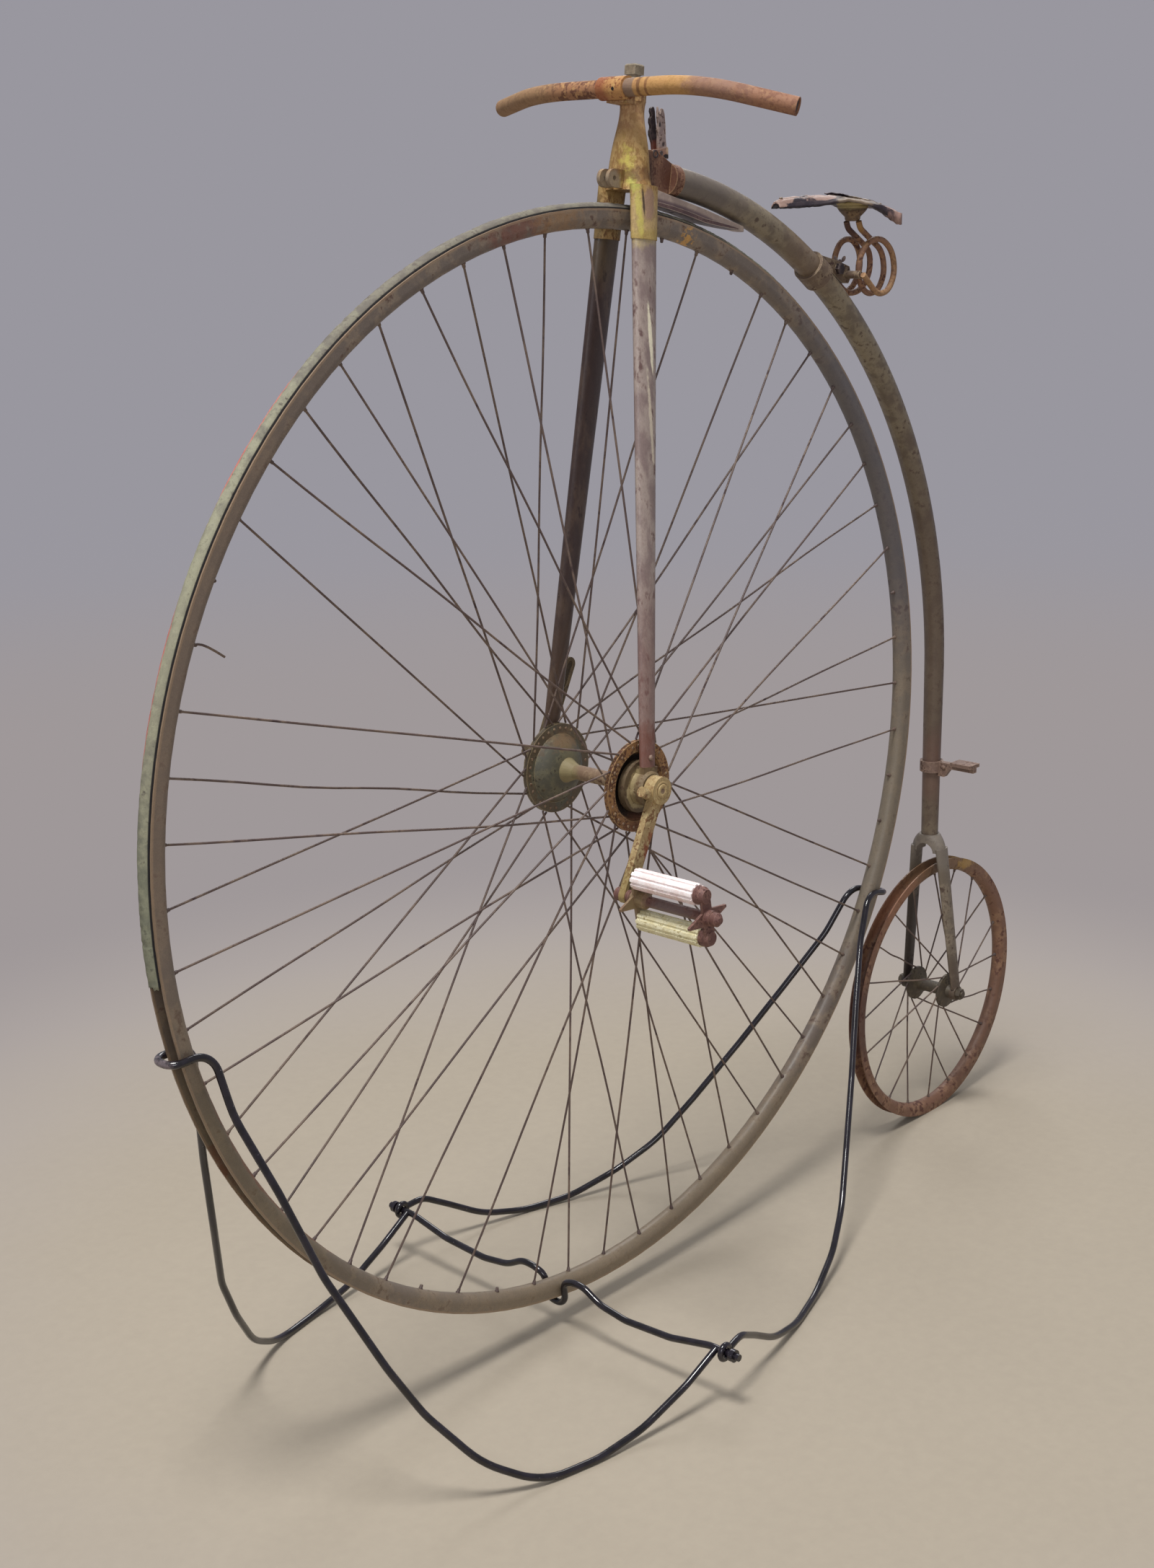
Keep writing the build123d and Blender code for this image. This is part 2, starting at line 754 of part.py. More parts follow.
def trough_line(lift, share):
    """Corners along the trough, from its floor at share 0 to its edge at share 1, lifted by a height."""
    corners = []
    for degrees, clear, depth in trough_sections:
        x, y, z = on_wheel(tyre_radius + clear + share * depth, degrees, 0)
        corners.append((x, z + lift))
    return corners


def trough():
    """The narrow trough that hangs from the neck between the backbone and the tyre."""
    outline = trough_line(0, 1) + trough_line(0, 0)[::-1]
    outer = across(make_face(Polyline(*outline, close=True)), -trough_half, trough_half)
    over = trough_line(backbone_clear, 1) + trough_line(trough_wall, 0)[::-1]
    inside = trough_half - trough_wall
    hollow = across(make_face(Polyline(*over, close=True)), -inside, inside)
    front, tip = trough_line(0, 0)[0], trough_line(0, 0)[-1]
    length = front[0] - tip[0]
    plan = Pos(tip[0] + length, 0) * SlotOverall(2 * length, 2 * trough_half)
    keep = extrude(Pos(0, 0, tip[1] - length) * plan, amount=3 * length)
    return (outer - hollow) & keep


add("blade_trough", at_hub(trough()) - Pos(0, 0, -seat_gap) * neck())


def rear_fork():
    """A crown under the backbone and two flat legs to the rear axle."""
    crown_z = rear_z + rear_crown_height
    crown_half = rear_crown_out + rear_leg_thick
    body = loft([
        Pos(drop_x, 0, backbone_end_z - seat_gap) * Circle(backbone_end + 3.0),
        Pos(drop_x, 0, crown_z + rear_crown_rise / 3) * Ellipse(rear_leg_width / 2 + 1.0, crown_half - 2.0),
        Pos(drop_x, 0, crown_z - rear_crown_rise / 3) * Ellipse(rear_leg_width / 2 + 1.0, crown_half),
    ])
    body -= Pos(drop_x, 0, crown_z - rear_crown_rise / 3) * (Rot(0, 90, 0) * Cylinder(
        rear_crown_out - 4.0, 4 * rear_leg_width))
    for side in (1, -1):
        top = Ellipse(rear_leg_width / 2, rear_leg_thick / 2 + 1.5)
        foot = Ellipse(rear_foot_width / 2, rear_leg_thick / 2)
        body += loft([
            Pos(drop_x, side * (rear_crown_out + 3.0), crown_z) * top,
            Pos(rear_x, side * rear_leg_out, rear_z + 0.7 * rear_boss_radius) * foot,
        ])
        boss = Rot(90, 0, 0) * Cylinder(rear_boss_radius, rear_leg_thick)
        body += Pos(rear_x, side * rear_leg_out, rear_z) * boss
    hole = Rot(90, 0, 0) * Cylinder(rear_axle_radius + running_fit, 4 * rear_leg_out)
    return body - Pos(rear_x, 0, rear_z) * hole


def rear_axle():
    """The fixed rear axle with its two six-sided nuts."""
    nut_in = rear_leg_out + rear_leg_thick / 2
    body = Rot(90, 0, 0) * Cylinder(rear_axle_radius, 2 * rear_axle_half)
    nut = RegularPolygon(rear_nut_radius, 6)
    body += across(nut, nut_in, nut_in + rear_nut_thick)
    body += across(nut, -nut_in - rear_nut_thick, -nut_in)
    return Pos(rear_x, 0, rear_z) * body


def rear_hub():
    """The rear hub: a barrel between two thin flanges, bored for the axle."""
    bore = rear_axle_radius + running_fit
    face = rear_flange_out - rear_flange_thick / 2
    back = rear_flange_out + rear_flange_thick / 2
    end = rear_leg_out - rear_leg_thick / 2 - side_play
    side = turned([
        (bore, 0), (rear_barrel_radius, 0), (rear_barrel_radius, face - 5.0), (rear_flange_radius, face),
        (rear_flange_radius, back), (rear_barrel_radius + 1.5, back + 3.0), (rear_barrel_radius, end),
        (bore, end),
    ])
    return Pos(rear_x, 0, rear_z) * (side + mirror(side, about=Plane.XZ))


def rear_spokes():
    """The rear wheel's spokes, alternating between its two flanges."""
    sizes = (rear_radius - rear_rim_depth, rear_flange_radius, rear_flange_out, rear_spoke_radius, 0.0)
    solids = []
    for place in range(rear_spoke_count):
        side = 1 if place % 2 else -1
        rim_deg = place * 360 / rear_spoke_count
        start, unit, length, radius = laced_spoke(rim_deg, rear_spoke_lean_deg, side, sizes)
        solids.append(extrude(Plane(origin=start, z_dir=unit) * Circle(radius), amount=length).solid())
    return Pos(rear_x, 0, rear_z) * Compound(children=solids)


add("rear_fork", at_hub(rear_fork()))
add("rear_axle", at_hub(rear_axle()))
add("rear_hub", at_hub(rear_hub()))
add("rear_rim", at_hub(Pos(rear_x, 0, rear_z) * channel_rim(
    rear_radius, rear_rim_width, rear_rim_depth - rear_rim_width / 2, rear_rim_wall)))
add("rear_spokes", at_hub(rear_spokes()))


def step():
    """The mounting step: a band round the backbone, an arm with a gusset and a flat pad on its left."""
    low = backbone_end_z + step_rise
    bore = drop_radius(low - step_band / 2) + running_fit
    upper = drop_radius(low + step_band / 2) + running_fit
    wide, thick = step_arm
    pad_long, pad_wide, pad_thick = step_pad
    fit = Pos(0, 0, low) * Cone(bore, upper, step_band)
    band = Pos(0, 0, low) * Cylinder(upper + step_wall, step_band) - fit
    reach = bore + step_reach
    arm = Pos(0, reach / 2, low + (step_band - thick) / 2) * Box(wide, reach, thick)
    pad_z = low + (step_band + pad_thick) / 2 - 1.0
    pad = Pos(0, reach - pad_wide / 2, pad_z) * Box(pad_long, pad_wide, pad_thick)
    side = Plane.YZ * make_face(Polyline(
        (0, low - step_gusset_drop / 2), (bore + step_wall + 8.0, low - step_gusset_drop / 2),
        (reach - pad_wide, low + step_band / 2), (0, low + step_band / 2), close=True))
    gusset = extrude(side, amount=wide / 2, both=True)
    tube = Pos(0, 0, low) * Cylinder(upper + step_wall / 2, 3 * step_gusset_drop)
    return Pos(drop_x, 0, 0) * (band + ((arm + pad + gusset) - tube))


add("step", at_hub(step()))

# Saddle: clamp on the backbone, double coil spring, boss and a worn arched top.
# Places are measured from the point of the backbone's middle line that the clamp is on.

clamp_x, clamp_y, clamp_z = backbone_point(clamp_deg, 0)
clamp_bore = taper_radius(clamp_deg) + seat_gap
spring_x = clamp_x - spring_back
spring_z = clamp_z + spring_rise
boss_x = clamp_x - boss_back
boss_z = clamp_z + boss_rise
clamp_pin_x = clamp_x - clamp_pin_back
clamp_pin_z = clamp_z - clamp_pin_drop
saddle_top_z = clamp_z + saddle_rise
saddle_nose_x = clamp_x + saddle_nose_ahead
spring_last_out = spring_first_out + spring_pitch * spring_turns * spring_turn_deg / 360

# Outline of the clamp's arm and lug. Columns: ahead of the clamp, above it
clamp_arm = ((10.0, 8.4), (-6.0, 19.4), (-42.0, 11.4), (-68.0, 3.4), (-72.0, -9.6), (-66.0, -17.6),
             (-54.0, -16.6), (-31.0, -6.6), (-6.0, 2.4))


def saddle_clamp():
    """The split clamp round the backbone, with the lug that the spring's ends are bolted to."""
    at = Vector(clamp_x, clamp_y, clamp_z)
    angle = math.radians(clamp_deg)
    along = Vector(-math.sin(angle), 0, math.cos(angle))
    bore = clamp_bore
    place = Plane(origin=at - along * (clamp_width / 2), z_dir=along)
    band = extrude(place * (Circle(bore + clamp_wall) - Circle(bore)), amount=clamp_width)
    outline = [(clamp_x + ahead, clamp_z + above) for ahead, above in clamp_arm]
    arm = across(Polygon(*outline, align=None), -clamp_lug_half, clamp_lug_half)
    reach = 3 * clamp_width
    space = extrude(Plane(origin=at - along * reach, z_dir=along) * Circle(bore), amount=2 * reach)
    pin_half = spring_last_out - spring_wire - seat_gap
    pin = Pos(clamp_pin_x, 0, clamp_pin_z) * (Rot(90, 0, 0) * Cylinder(clamp_pin_radius, 2 * pin_half))
    return band + (arm - space - round_backbone()) + pin


def round_backbone():
    """The backbone's curve with a small gap round it, to cut what lies along it."""
    arc = Plane.XZ * CenterArc((backbone_centre_x, backbone_centre_z), backbone_radius,
                               backbone_first_deg, 180 - backbone_first_deg)
    return sweep(Plane(origin=arc @ 0, z_dir=arc % 0) * Circle(backbone_top), path=arc)


def spring_wire_points(side):
    """The middle line of one spring wire: down from the boss, round the coil and in to the clamp's pin."""
    start = spring_first_out
    below = boss_z - 2.4 * spring_wire
    points = [(boss_x, side * start, boss_z - seat_gap), (boss_x - spring_wire, side * start, below)]
    for place in range(spring_turns):
        degrees = 150 + spring_turn_deg * place
        angle = math.radians(degrees)
        out = start + spring_pitch * place * spring_turn_deg / 360
        points.append((spring_x + spring_coil_radius * math.cos(angle), side * out,
                       spring_z + spring_coil_radius * math.sin(angle)))
    points.append((clamp_pin_x, side * spring_last_out, clamp_pin_z))
    return points


def saddle_spring():
    """The two coiled wires, mirror images of each other."""
    wires = [bent_rod(spring_wire_points(side), spring_wire, spring_bend).solid() for side in (1, -1)]
    return Compound(children=wires)


# Saddle sections from nose to tail.
# Columns: share of the length, half width, ridge above the top, drop at the edge
saddle_sections = (
    (0.0, 7.0, -3.0, 6.0),
    (0.08, 11.5, 1.0, 10.0),
    (0.30, 15.0, 3.0, 11.0),
    (0.55, 29.0, 3.0, 12.0),
    (0.78, 43.0, -4.0, 12.0),
    (1.0, 47.0, -19.0, 13.0),
)


def saddle_sheet(above, below):
    """An arched sheet along the saddle's ridge line, between two heights about it."""
    faces = []
    for share, half, ridge, drop in saddle_sections:
        x = saddle_nose_x - share * saddle_length
        high = saddle_top_z + ridge + above
        low = saddle_top_z + ridge - below
        outline = [
            ThreePointArc((-half, high - drop), (0, high), (half, high - drop)),
            Line((half, high - drop), (half, low - drop)),
            ThreePointArc((half, low - drop), (0, low), (-half, low - drop)),
            Line((-half, low - drop), (-half, high - drop)),
        ]
        faces.append(Plane(origin=(x, 0, 0), x_dir=(0, 1, 0), z_dir=(1, 0, 0)) * make_face(outline))
    return loft(faces)


def saddle_boss():
    """The boss under the saddle that the spring wires come out of, cut to the saddle's underside."""
    body = loft([
        Pos(boss_x, 0, boss_z) * Ellipse(0.75 * boss_half, 0.85 * boss_half),
        Pos(boss_x, 0, boss_z + 0.6 * boss_half) * Ellipse(boss_half, boss_half),
        Pos(boss_x, 0, saddle_top_z) * Ellipse(boss_half, boss_half),
    ])
    return body - saddle_sheet(saddle_rise, saddle_thick + seat_gap)


add("saddle_clamp", at_hub(saddle_clamp()))
add("saddle_spring", at_hub(saddle_spring()))
add("saddle_boss", at_hub(saddle_boss()))
add("saddle_top", at_hub(saddle_sheet(0.0, saddle_thick)))

# Strips that stand up behind the head. Columns: ahead of the foot, to the left, height
strip_rows = ((8.0, -2.2, 51.0), (-1.0, 5.0, 50.0))
strip_foot_back = 44.2
strip_foot_sunk = 1.45
strip_foot = (30.0, 15.0, 13.0)
strip_long = 12.0
strip_thick = 3.0
strip_teeth = 5
strip_pitch = 7.0


def brake_strips():
    """The serrated strip and the plain strip, on one foot plate on the neck."""
    foot_x, foot_y, foot_z = on_line(-strip_foot_back, slot_high - strip_foot_sunk)
    body = Pos(foot_x, 0, foot_z) * Box(*strip_foot)
    for ahead, left, tall in strip_rows:
        body += Pos(foot_x + ahead, left, foot_z + tall / 2) * Box(strip_long, strip_thick, tall)
    ahead, left, tall = strip_rows[0]
    for tooth in range(strip_teeth):
        notch = foot_z + tall / 3 + strip_pitch * tooth
        body -= Pos(foot_x + ahead + strip_long / 2, left, notch) * (
            Rot(90, 0, 0) * Cylinder(strip_pitch / 4, 2 * strip_thick))
    return body


add("brake_strips", at_hub(brake_strips()) - Pos(0, 0, seat_gap) * neck())


# Stand: front loop welded to a cross rod with a cradle, and a rear loop hung on the cross rod's ends

side_out = rim_half + rim_gap + rod_radius
hook_radius = tyre_radius + cradle_clear + rod_radius
cradle_low = hub_z - math.sqrt(tyre_radius ** 2 - cradle_x ** 2) - cradle_clear - rod_radius

hook_tip = on_wheel(hook_radius + rod_radius / 2, hook_deg, 0)
hook_root = on_wheel(rim_inner - 3 * rod_radius, hook_deg - 1.0, side_out)
hoop_tip = on_wheel(hook_radius + rod_radius / 2, hoop_deg, 0)
hoop_root = on_wheel(rim_inner - 2.5 * rod_radius, hoop_deg + 1.0, side_out)
eye_out = cross_half + 2.35 * rod_radius
floor_rod = rod_radius - hub_z

# Bends of the front loop.
# Columns: share of the way to the hook, share of the cross rod's half, share of the hook's height
front_bends = (
    (0.093, 0.977, 0.068), (0.216, 0.947, 0.017), (0.333, 0.916, 0.0), (0.465, 0.855, 0.0),
    (0.574, 0.733, 0.075), (0.662, 0.603, 0.204), (0.720, 0.527, 0.321), (0.792, 0.351, 0.522),
    (0.843, 0.237, 0.707), (0.890, 0.1145, 0.867),
)
# Bends of the rear loop, with the same columns towards the hoop behind the wheel
rear_bends = (
    (0.049, 1.023, 0.175), (0.107, 0.985, 0.118), (0.182, 0.947, 0.039), (0.276, 0.889, 0.0),
    (0.378, 0.802, 0.006), (0.479, 0.710, 0.062), (0.559, 0.611, 0.147), (0.631, 0.500, 0.296),
    (0.718, 0.366, 0.491), (0.7975, 0.237, 0.684), (0.877, 0.1145, 0.874),
)
# Bends of the cross rod from its end to the cradle. Columns: share of its half, share of its height
cross_bends = ((0.954, 1.0), (0.725, 0.803), (0.458, 0.742), (0.298, 0.833), (0.198, 1.045), (0.130, 1.045))


def loop_corners(bends, tip):
    """Corners of one loop's left half, from its table of bends to the rim."""
    rise = tip[2] - floor_rod
    return [(cross_x + way * (tip[0] - cross_x), half * cross_half, floor_rod + tall * rise)
            for way, half, tall in bends]


front_half = [
    over_floor(cross_x + rod_radius / 2, cross_half - rod_radius / 2, cross_height),
    *loop_corners(front_bends, hook_tip),
    hook_root,
    (hook_tip[0], side_out, hook_tip[2]),
]
rear_half = [
    over_floor(cross_x - eye_radius, eye_out, cross_height + rod_radius / 2),
    *loop_corners(rear_bends, hoop_tip),
    hoop_root,
    (hoop_tip[0], side_out, hoop_tip[2]),
]
cross_rows = [
    over_floor(cross_x, cross_half + stub_length, cross_height),
    *[over_floor(cross_x, half * cross_half, tall * cross_height) for half, tall in cross_bends],
    over_floor((cross_x + cradle_x) / 2, side_out, 0.924 * cross_height),
    over_floor(cradle_x, side_out, cradle_low),
]


def cross_rod():
    """The cross rod with its cradle and a knob at each end."""
    rod = bent_rod(cross_rows + mirrored(cross_rows), rod_radius, cross_bend)
    for side in (1, -1):
        knob = over_floor(cross_x, side * (cross_half + stub_length - knob_inset), cross_height)
        rod += Pos(*knob) * (Rot(90, 0, 0) * Cylinder(knob_radius, knob_thick))
    return rod


def front_loop():
    """The front loop, hooked round the rim."""
    loop = bent_rod(front_half + mirrored(front_half), rod_radius, loop_bend)
    spare = bent_rod(cross_rows + mirrored(cross_rows), rod_radius + weld_gap, cross_bend)
    return max((loop - spare).solids(), key=lambda piece: piece.volume)


def rear_loop():
    """The rear loop, with an eye at each end round the cross rod."""
    loop = bent_rod(rear_half + mirrored(rear_half), rod_radius, loop_bend)
    for side in (1, -1):
        eye_at = over_floor(cross_x, side * eye_out, cross_height)
        loop += Pos(*eye_at) * (Rot(90, 0, 0) * Torus(eye_radius, eye_rod))
    return loop


add("stand_cross_rod", at_hub(cross_rod()))
add("stand_front_loop", at_hub(front_loop()))
add("stand_rear_loop", at_hub(rear_loop()))

os.makedirs("parts", exist_ok=True)
for node_name, node_shape in write_list:
    write(node_name, node_shape)
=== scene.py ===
import json
import logging
import math
import random
from dataclasses import dataclass
from enum import Enum
from typing import Iterable, Optional, Sequence

import bmesh
import bpy
from mathutils import Matrix, Vector


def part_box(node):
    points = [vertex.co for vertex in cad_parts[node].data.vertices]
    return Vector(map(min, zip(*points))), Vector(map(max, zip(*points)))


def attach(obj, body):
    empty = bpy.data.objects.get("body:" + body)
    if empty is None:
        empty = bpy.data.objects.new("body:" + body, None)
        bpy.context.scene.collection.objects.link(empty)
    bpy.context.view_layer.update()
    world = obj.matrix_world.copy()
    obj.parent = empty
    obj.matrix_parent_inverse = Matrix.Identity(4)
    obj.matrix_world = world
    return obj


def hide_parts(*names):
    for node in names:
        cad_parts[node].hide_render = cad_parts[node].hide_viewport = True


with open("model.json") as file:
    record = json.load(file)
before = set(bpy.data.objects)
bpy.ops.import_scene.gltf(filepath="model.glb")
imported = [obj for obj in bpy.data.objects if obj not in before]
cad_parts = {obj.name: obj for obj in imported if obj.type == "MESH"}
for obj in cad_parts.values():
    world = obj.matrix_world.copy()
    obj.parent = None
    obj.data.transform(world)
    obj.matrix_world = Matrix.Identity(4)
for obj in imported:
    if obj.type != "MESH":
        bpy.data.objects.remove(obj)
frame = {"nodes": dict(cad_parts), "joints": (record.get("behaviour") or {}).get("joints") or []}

log = logging.getLogger("high_wheel")

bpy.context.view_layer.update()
MM = 0.001
LEFT = Vector((0.0, 1.0, 0.0))
Triple = tuple[float, float, float]
Profile = Sequence[tuple[float, float]]
Place = tuple[Vector, Vector, float]


class Group(Enum):
    """The shader node groups that more than one finish uses."""

    PATINA = "patina"
    EDGE_WEAR = "edge_wear"
    STREAKS = "streaks"
    MARK = "mark"


def tone(red: int, green: int, blue: int) -> Triple:
    """Turns a colour on the usual 0 to 255 scale into the linear colour a shader takes."""
    return tuple(((part / 255 + 0.055) / 1.055) ** 2.4 for part in (red, green, blue))


# Node trees

class Tree:
    """A thin helper round one node tree, so that nodes and links read in a line each."""

    def __init__(self, tree: bpy.types.NodeTree) -> None:
        """Wraps a node tree.

        Args:
            tree: The shader or geometry node tree to build in.
        """
        self.tree = tree

    def add(self, kind: str, settings: Optional[dict] = None, **inputs: object) -> bpy.types.Node:
        """Adds a node.

        Args:
            kind: The node's bl_idname.
            settings: Properties of the node, by name.
            **inputs: Values or sockets for its inputs, by name with underscores for spaces.

        Returns:
            The new node.
        """
        node = self.tree.nodes.new(kind)
        for key, value in (settings or {}).items():
            setattr(node, key, value)
        for key, value in inputs.items():
            self.feed(node, key.replace("_", " "), value)
        return node

    def feed(self, node: bpy.types.Node, key: object, value: object) -> None:
        """Sets or links one input of a node.

        Args:
            node: The node that owns the input.
            key: The input's name, or its number.
            value: A socket to link, or a plain value.
        """
        socket = node.inputs[key]
        if isinstance(value, bpy.types.NodeSocket):
            self.tree.links.new(value, socket)
        else:
            socket.default_value = value

    def math(self, kind: str, first: object, second: object = 0.0, clamp: bool = False) -> bpy.types.NodeSocket:
        """Adds a Math node.

        Args:
            kind: The operation, such as MULTIPLY.
            first: The first value or socket.
            second: The second value or socket.
            clamp: Whether the result is kept between 0 and 1.

        Returns:
            The result's socket.
        """
        node = self.add("ShaderNodeMath", {"operation": kind, "use_clamp": clamp})
        self.feed(node, 0, first)
        self.feed(node, 1, second)
        return node.outputs[0]

    def vector(self, kind: str, first: object, second: object = None) -> bpy.types.Node:
        """Adds a Vector Math node.

        Args:
            kind: The operation, such as SUBTRACT.
            first: The first vector or socket.
            second: The second vector or socket, where the operation has one.

        Returns:
            The node.
        """
        node = self.add("ShaderNodeVectorMath", {"operation": kind})
        self.feed(node, 0, first)
        if second is not None:
            self.feed(node, 1, second)
        return node

    def mix(self, factor: object, first: object, second: object, blend: str = "MIX") -> bpy.types.NodeSocket:
        """Mixes two colours.

        Args:
            factor: The share of the second colour.
            first: The first colour or socket.
            second: The second colour or socket.
            blend: The blend type.

        Returns:
            The mixed colour's socket.
        """
        node = self.add("ShaderNodeMix", {"data_type": "RGBA", "blend_type": blend})
        self.feed(node, 0, factor)
        for number, value in ((6, first), (7, second)):
            if isinstance(value, tuple) and len(value) == 3:
                value = (*value, 1.0)
            self.feed(node, number, value)
        return node.outputs[2]

    def noise(self, vector: object, scale: object, detail: float, rough: float = 0.55) -> bpy.types.NodeSocket:
        """Adds a noise texture.

        Args:
            vector: The coordinates' socket.
            scale: The scale, a value or socket.
            detail: The number of octaves.
            rough: How strong the small octaves are.

        Returns:
            The noise value's socket.
        """
        node = self.add("ShaderNodeTexNoise", None, Vector=vector, Scale=scale, Detail=detail, Roughness=rough)
        return node.outputs["Fac"]

    def step(self, value: object, low: object, high: object) -> bpy.types.NodeSocket:
        """Maps a value smoothly to 0 below one limit and 1 above another.

        Args:
            value: The value's socket.
            low: Where the result leaves 0.
            high: Where the result reaches 1.

        Returns:
            The result's socket.
        """
        node = self.add("ShaderNodeMapRange", {"interpolation_type": "SMOOTHSTEP"})
        self.feed(node, "Value", value)
        self.feed(node, "From Min", low)
        self.feed(node, "From Max", high)
        return node.outputs["Result"]

    def around(self, value: object, edge: object, below: float, above: float) -> bpy.types.NodeSocket:
        """Maps a value smoothly from 0 to 1 about an edge that may itself vary.

        Args:
            value: The value's socket.
            edge: The edge, a value or socket.
            below: How far below the edge the result leaves 0.
            above: How far above the edge the result reaches 1.

        Returns:
            The result's socket.
        """
        return self.step(value, self.math("SUBTRACT", edge, below), self.math("ADD", edge, above))

    def group(self, kind: Group, **inputs: object) -> bpy.types.Node:
        """Adds one of the shared groups."""
        return self.add("ShaderNodeGroup", {"node_tree": bpy.data.node_groups[kind.value]}, **inputs)

    def grey(self, value: object) -> bpy.types.NodeSocket:
        """Turns a value into a grey of that brightness."""
        return self.add("ShaderNodeCombineColor", None, Red=value, Green=value, Blue=value).outputs[0]


def new_group(name: str, kind: str, inputs: Sequence[tuple[str, str, object]],
              outputs: Sequence[tuple[str, str]]) -> tuple[Tree, bpy.types.Node, bpy.types.Node]:
    """Makes an empty node group with its sockets.

    Args:
        name: The group's name.
        kind: ShaderNodeTree or GeometryNodeTree.
        inputs: Each input's name, socket type and default.
        outputs: Each output's name and socket type.

    Returns:
        The tree, its input node and its output node.
    """
    made = bpy.data.node_groups.new(name, kind)
    for socket_name, socket_kind, default in inputs:
        socket = made.interface.new_socket(socket_name, in_out="INPUT", socket_type=socket_kind)
        if default is not None:
            socket.default_value = default
    for socket_name, socket_kind in outputs:
        made.interface.new_socket(socket_name, in_out="OUTPUT", socket_type=socket_kind)
    tree = Tree(made)
    return tree, tree.add("NodeGroupInput"), tree.add("NodeGroupOutput")


def new_material(name: str) -> tuple[bpy.types.Material, Tree]:
    """Makes a material with an empty node tree.

    Args:
        name: The material's name.

    Returns:
        The material and its tree.
    """
    made = bpy.data.materials.new(name)
    made.use_nodes = True
    made.node_tree.nodes.clear()
    return made, Tree(made.node_tree)


def build_patina() -> None:
    """Builds the group that lays patches, stains and chips over a base colour."""
    grey = (0.5, 0.5, 0.5, 1.0)
    tree, given, out = new_group(
        Group.PATINA.value, "ShaderNodeTree",
        (("Vector", "NodeSocketVector", None), ("Scale", "NodeSocketFloat", 20.0),
         ("Base", "NodeSocketColor", grey), ("Patch", "NodeSocketColor", grey), ("Stain", "NodeSocketColor", grey),
         ("Chip", "NodeSocketColor", grey), ("Patch Amount", "NodeSocketFloat", 0.4),
         ("Stain Amount", "NodeSocketFloat", 0.3), ("Chip Amount", "NodeSocketFloat", 0.05)),
        (("Color", "NodeSocketColor"), ("Shade", "NodeSocketColor"), ("Stain Mask", "NodeSocketFloat"),
         ("Height", "NodeSocketFloat")))
    where, scale = given.outputs["Vector"], given.outputs["Scale"]
    broad = tree.noise(where, scale, 4.0, 0.6)
    middle = tree.noise(where, tree.math("MULTIPLY", scale, 3.1), 6.0, 0.62)
    fine = tree.noise(where, tree.math("MULTIPLY", scale, 21.0), 4.0, 0.6)
    flake = tree.noise(where, tree.math("MULTIPLY", scale, 9.0), 3.0, 0.5)
    patch_edge = tree.math("SUBTRACT", 0.72, tree.math("MULTIPLY", given.outputs["Patch Amount"], 0.45))
    patch = tree.around(broad, patch_edge, 0.08, 0.08)
    stain_edge = tree.math("SUBTRACT", 0.74, tree.math("MULTIPLY", given.outputs["Stain Amount"], 0.5))
    blend = tree.math("ADD", tree.math("MULTIPLY", middle, 0.6), tree.math("MULTIPLY", broad, 0.4))
    stain = tree.around(blend, stain_edge, 0.03, 0.07)
    chip_edge = tree.math("SUBTRACT", 0.78, tree.math("MULTIPLY", given.outputs["Chip Amount"], 0.5))
    chip = tree.around(flake, chip_edge, 0.015, 0.03)
    colour = tree.mix(patch, given.outputs["Base"], given.outputs["Patch"])
    colour = tree.mix(stain, colour, given.outputs["Stain"])
    colour = tree.mix(chip, colour, given.outputs["Chip"])
    uneven = tree.math("ADD", tree.math("MULTIPLY", fine, 0.55), tree.math("MULTIPLY", middle, 0.35))
    tree.feed(out, "Color", colour)
    tree.feed(out, "Shade", tree.grey(tree.math("ADD", uneven, 0.55)))
    tree.feed(out, "Stain Mask", stain)
    relief = tree.math("ADD", tree.math("MULTIPLY", fine, 0.5), tree.math("MULTIPLY", stain, 0.25))
    tree.feed(out, "Height", tree.math("SUBTRACT", relief, tree.math("MULTIPLY", chip, 0.35)))


def build_edge_wear() -> None:
    """Builds the group that finds the outer edges, where paint is worn off; on the trough's lip the same mask lays a
    painted highlight.
    """
    tree, given, out = new_group(
        Group.EDGE_WEAR.value, "ShaderNodeTree",
        (("Vector", "NodeSocketVector", None), ("Radius", "NodeSocketFloat", 0.002),
         ("Amount", "NodeSocketFloat", 0.5)),
        (("Mask", "NodeSocketFloat"),))
    bevel = tree.add("ShaderNodeBevel", {"samples": 6}, Radius=given.outputs["Radius"])
    plain = tree.add("ShaderNodeNewGeometry")
    dot = tree.vector("DOT_PRODUCT", bevel.outputs["Normal"], plain.outputs["Normal"])
    edge = tree.math("SUBTRACT", 1.0, dot.outputs["Value"])
    rough = tree.noise(given.outputs["Vector"], 160.0, 5.0, 0.6)
    worn = tree.math("ADD", tree.math("MULTIPLY", edge, 5.0), tree.math("SUBTRACT", rough, 0.62))
    mask = tree.step(worn, 0.0, 0.22)
    tree.feed(out, "Mask", tree.math("MULTIPLY", mask, given.outputs["Amount"], clamp=True))


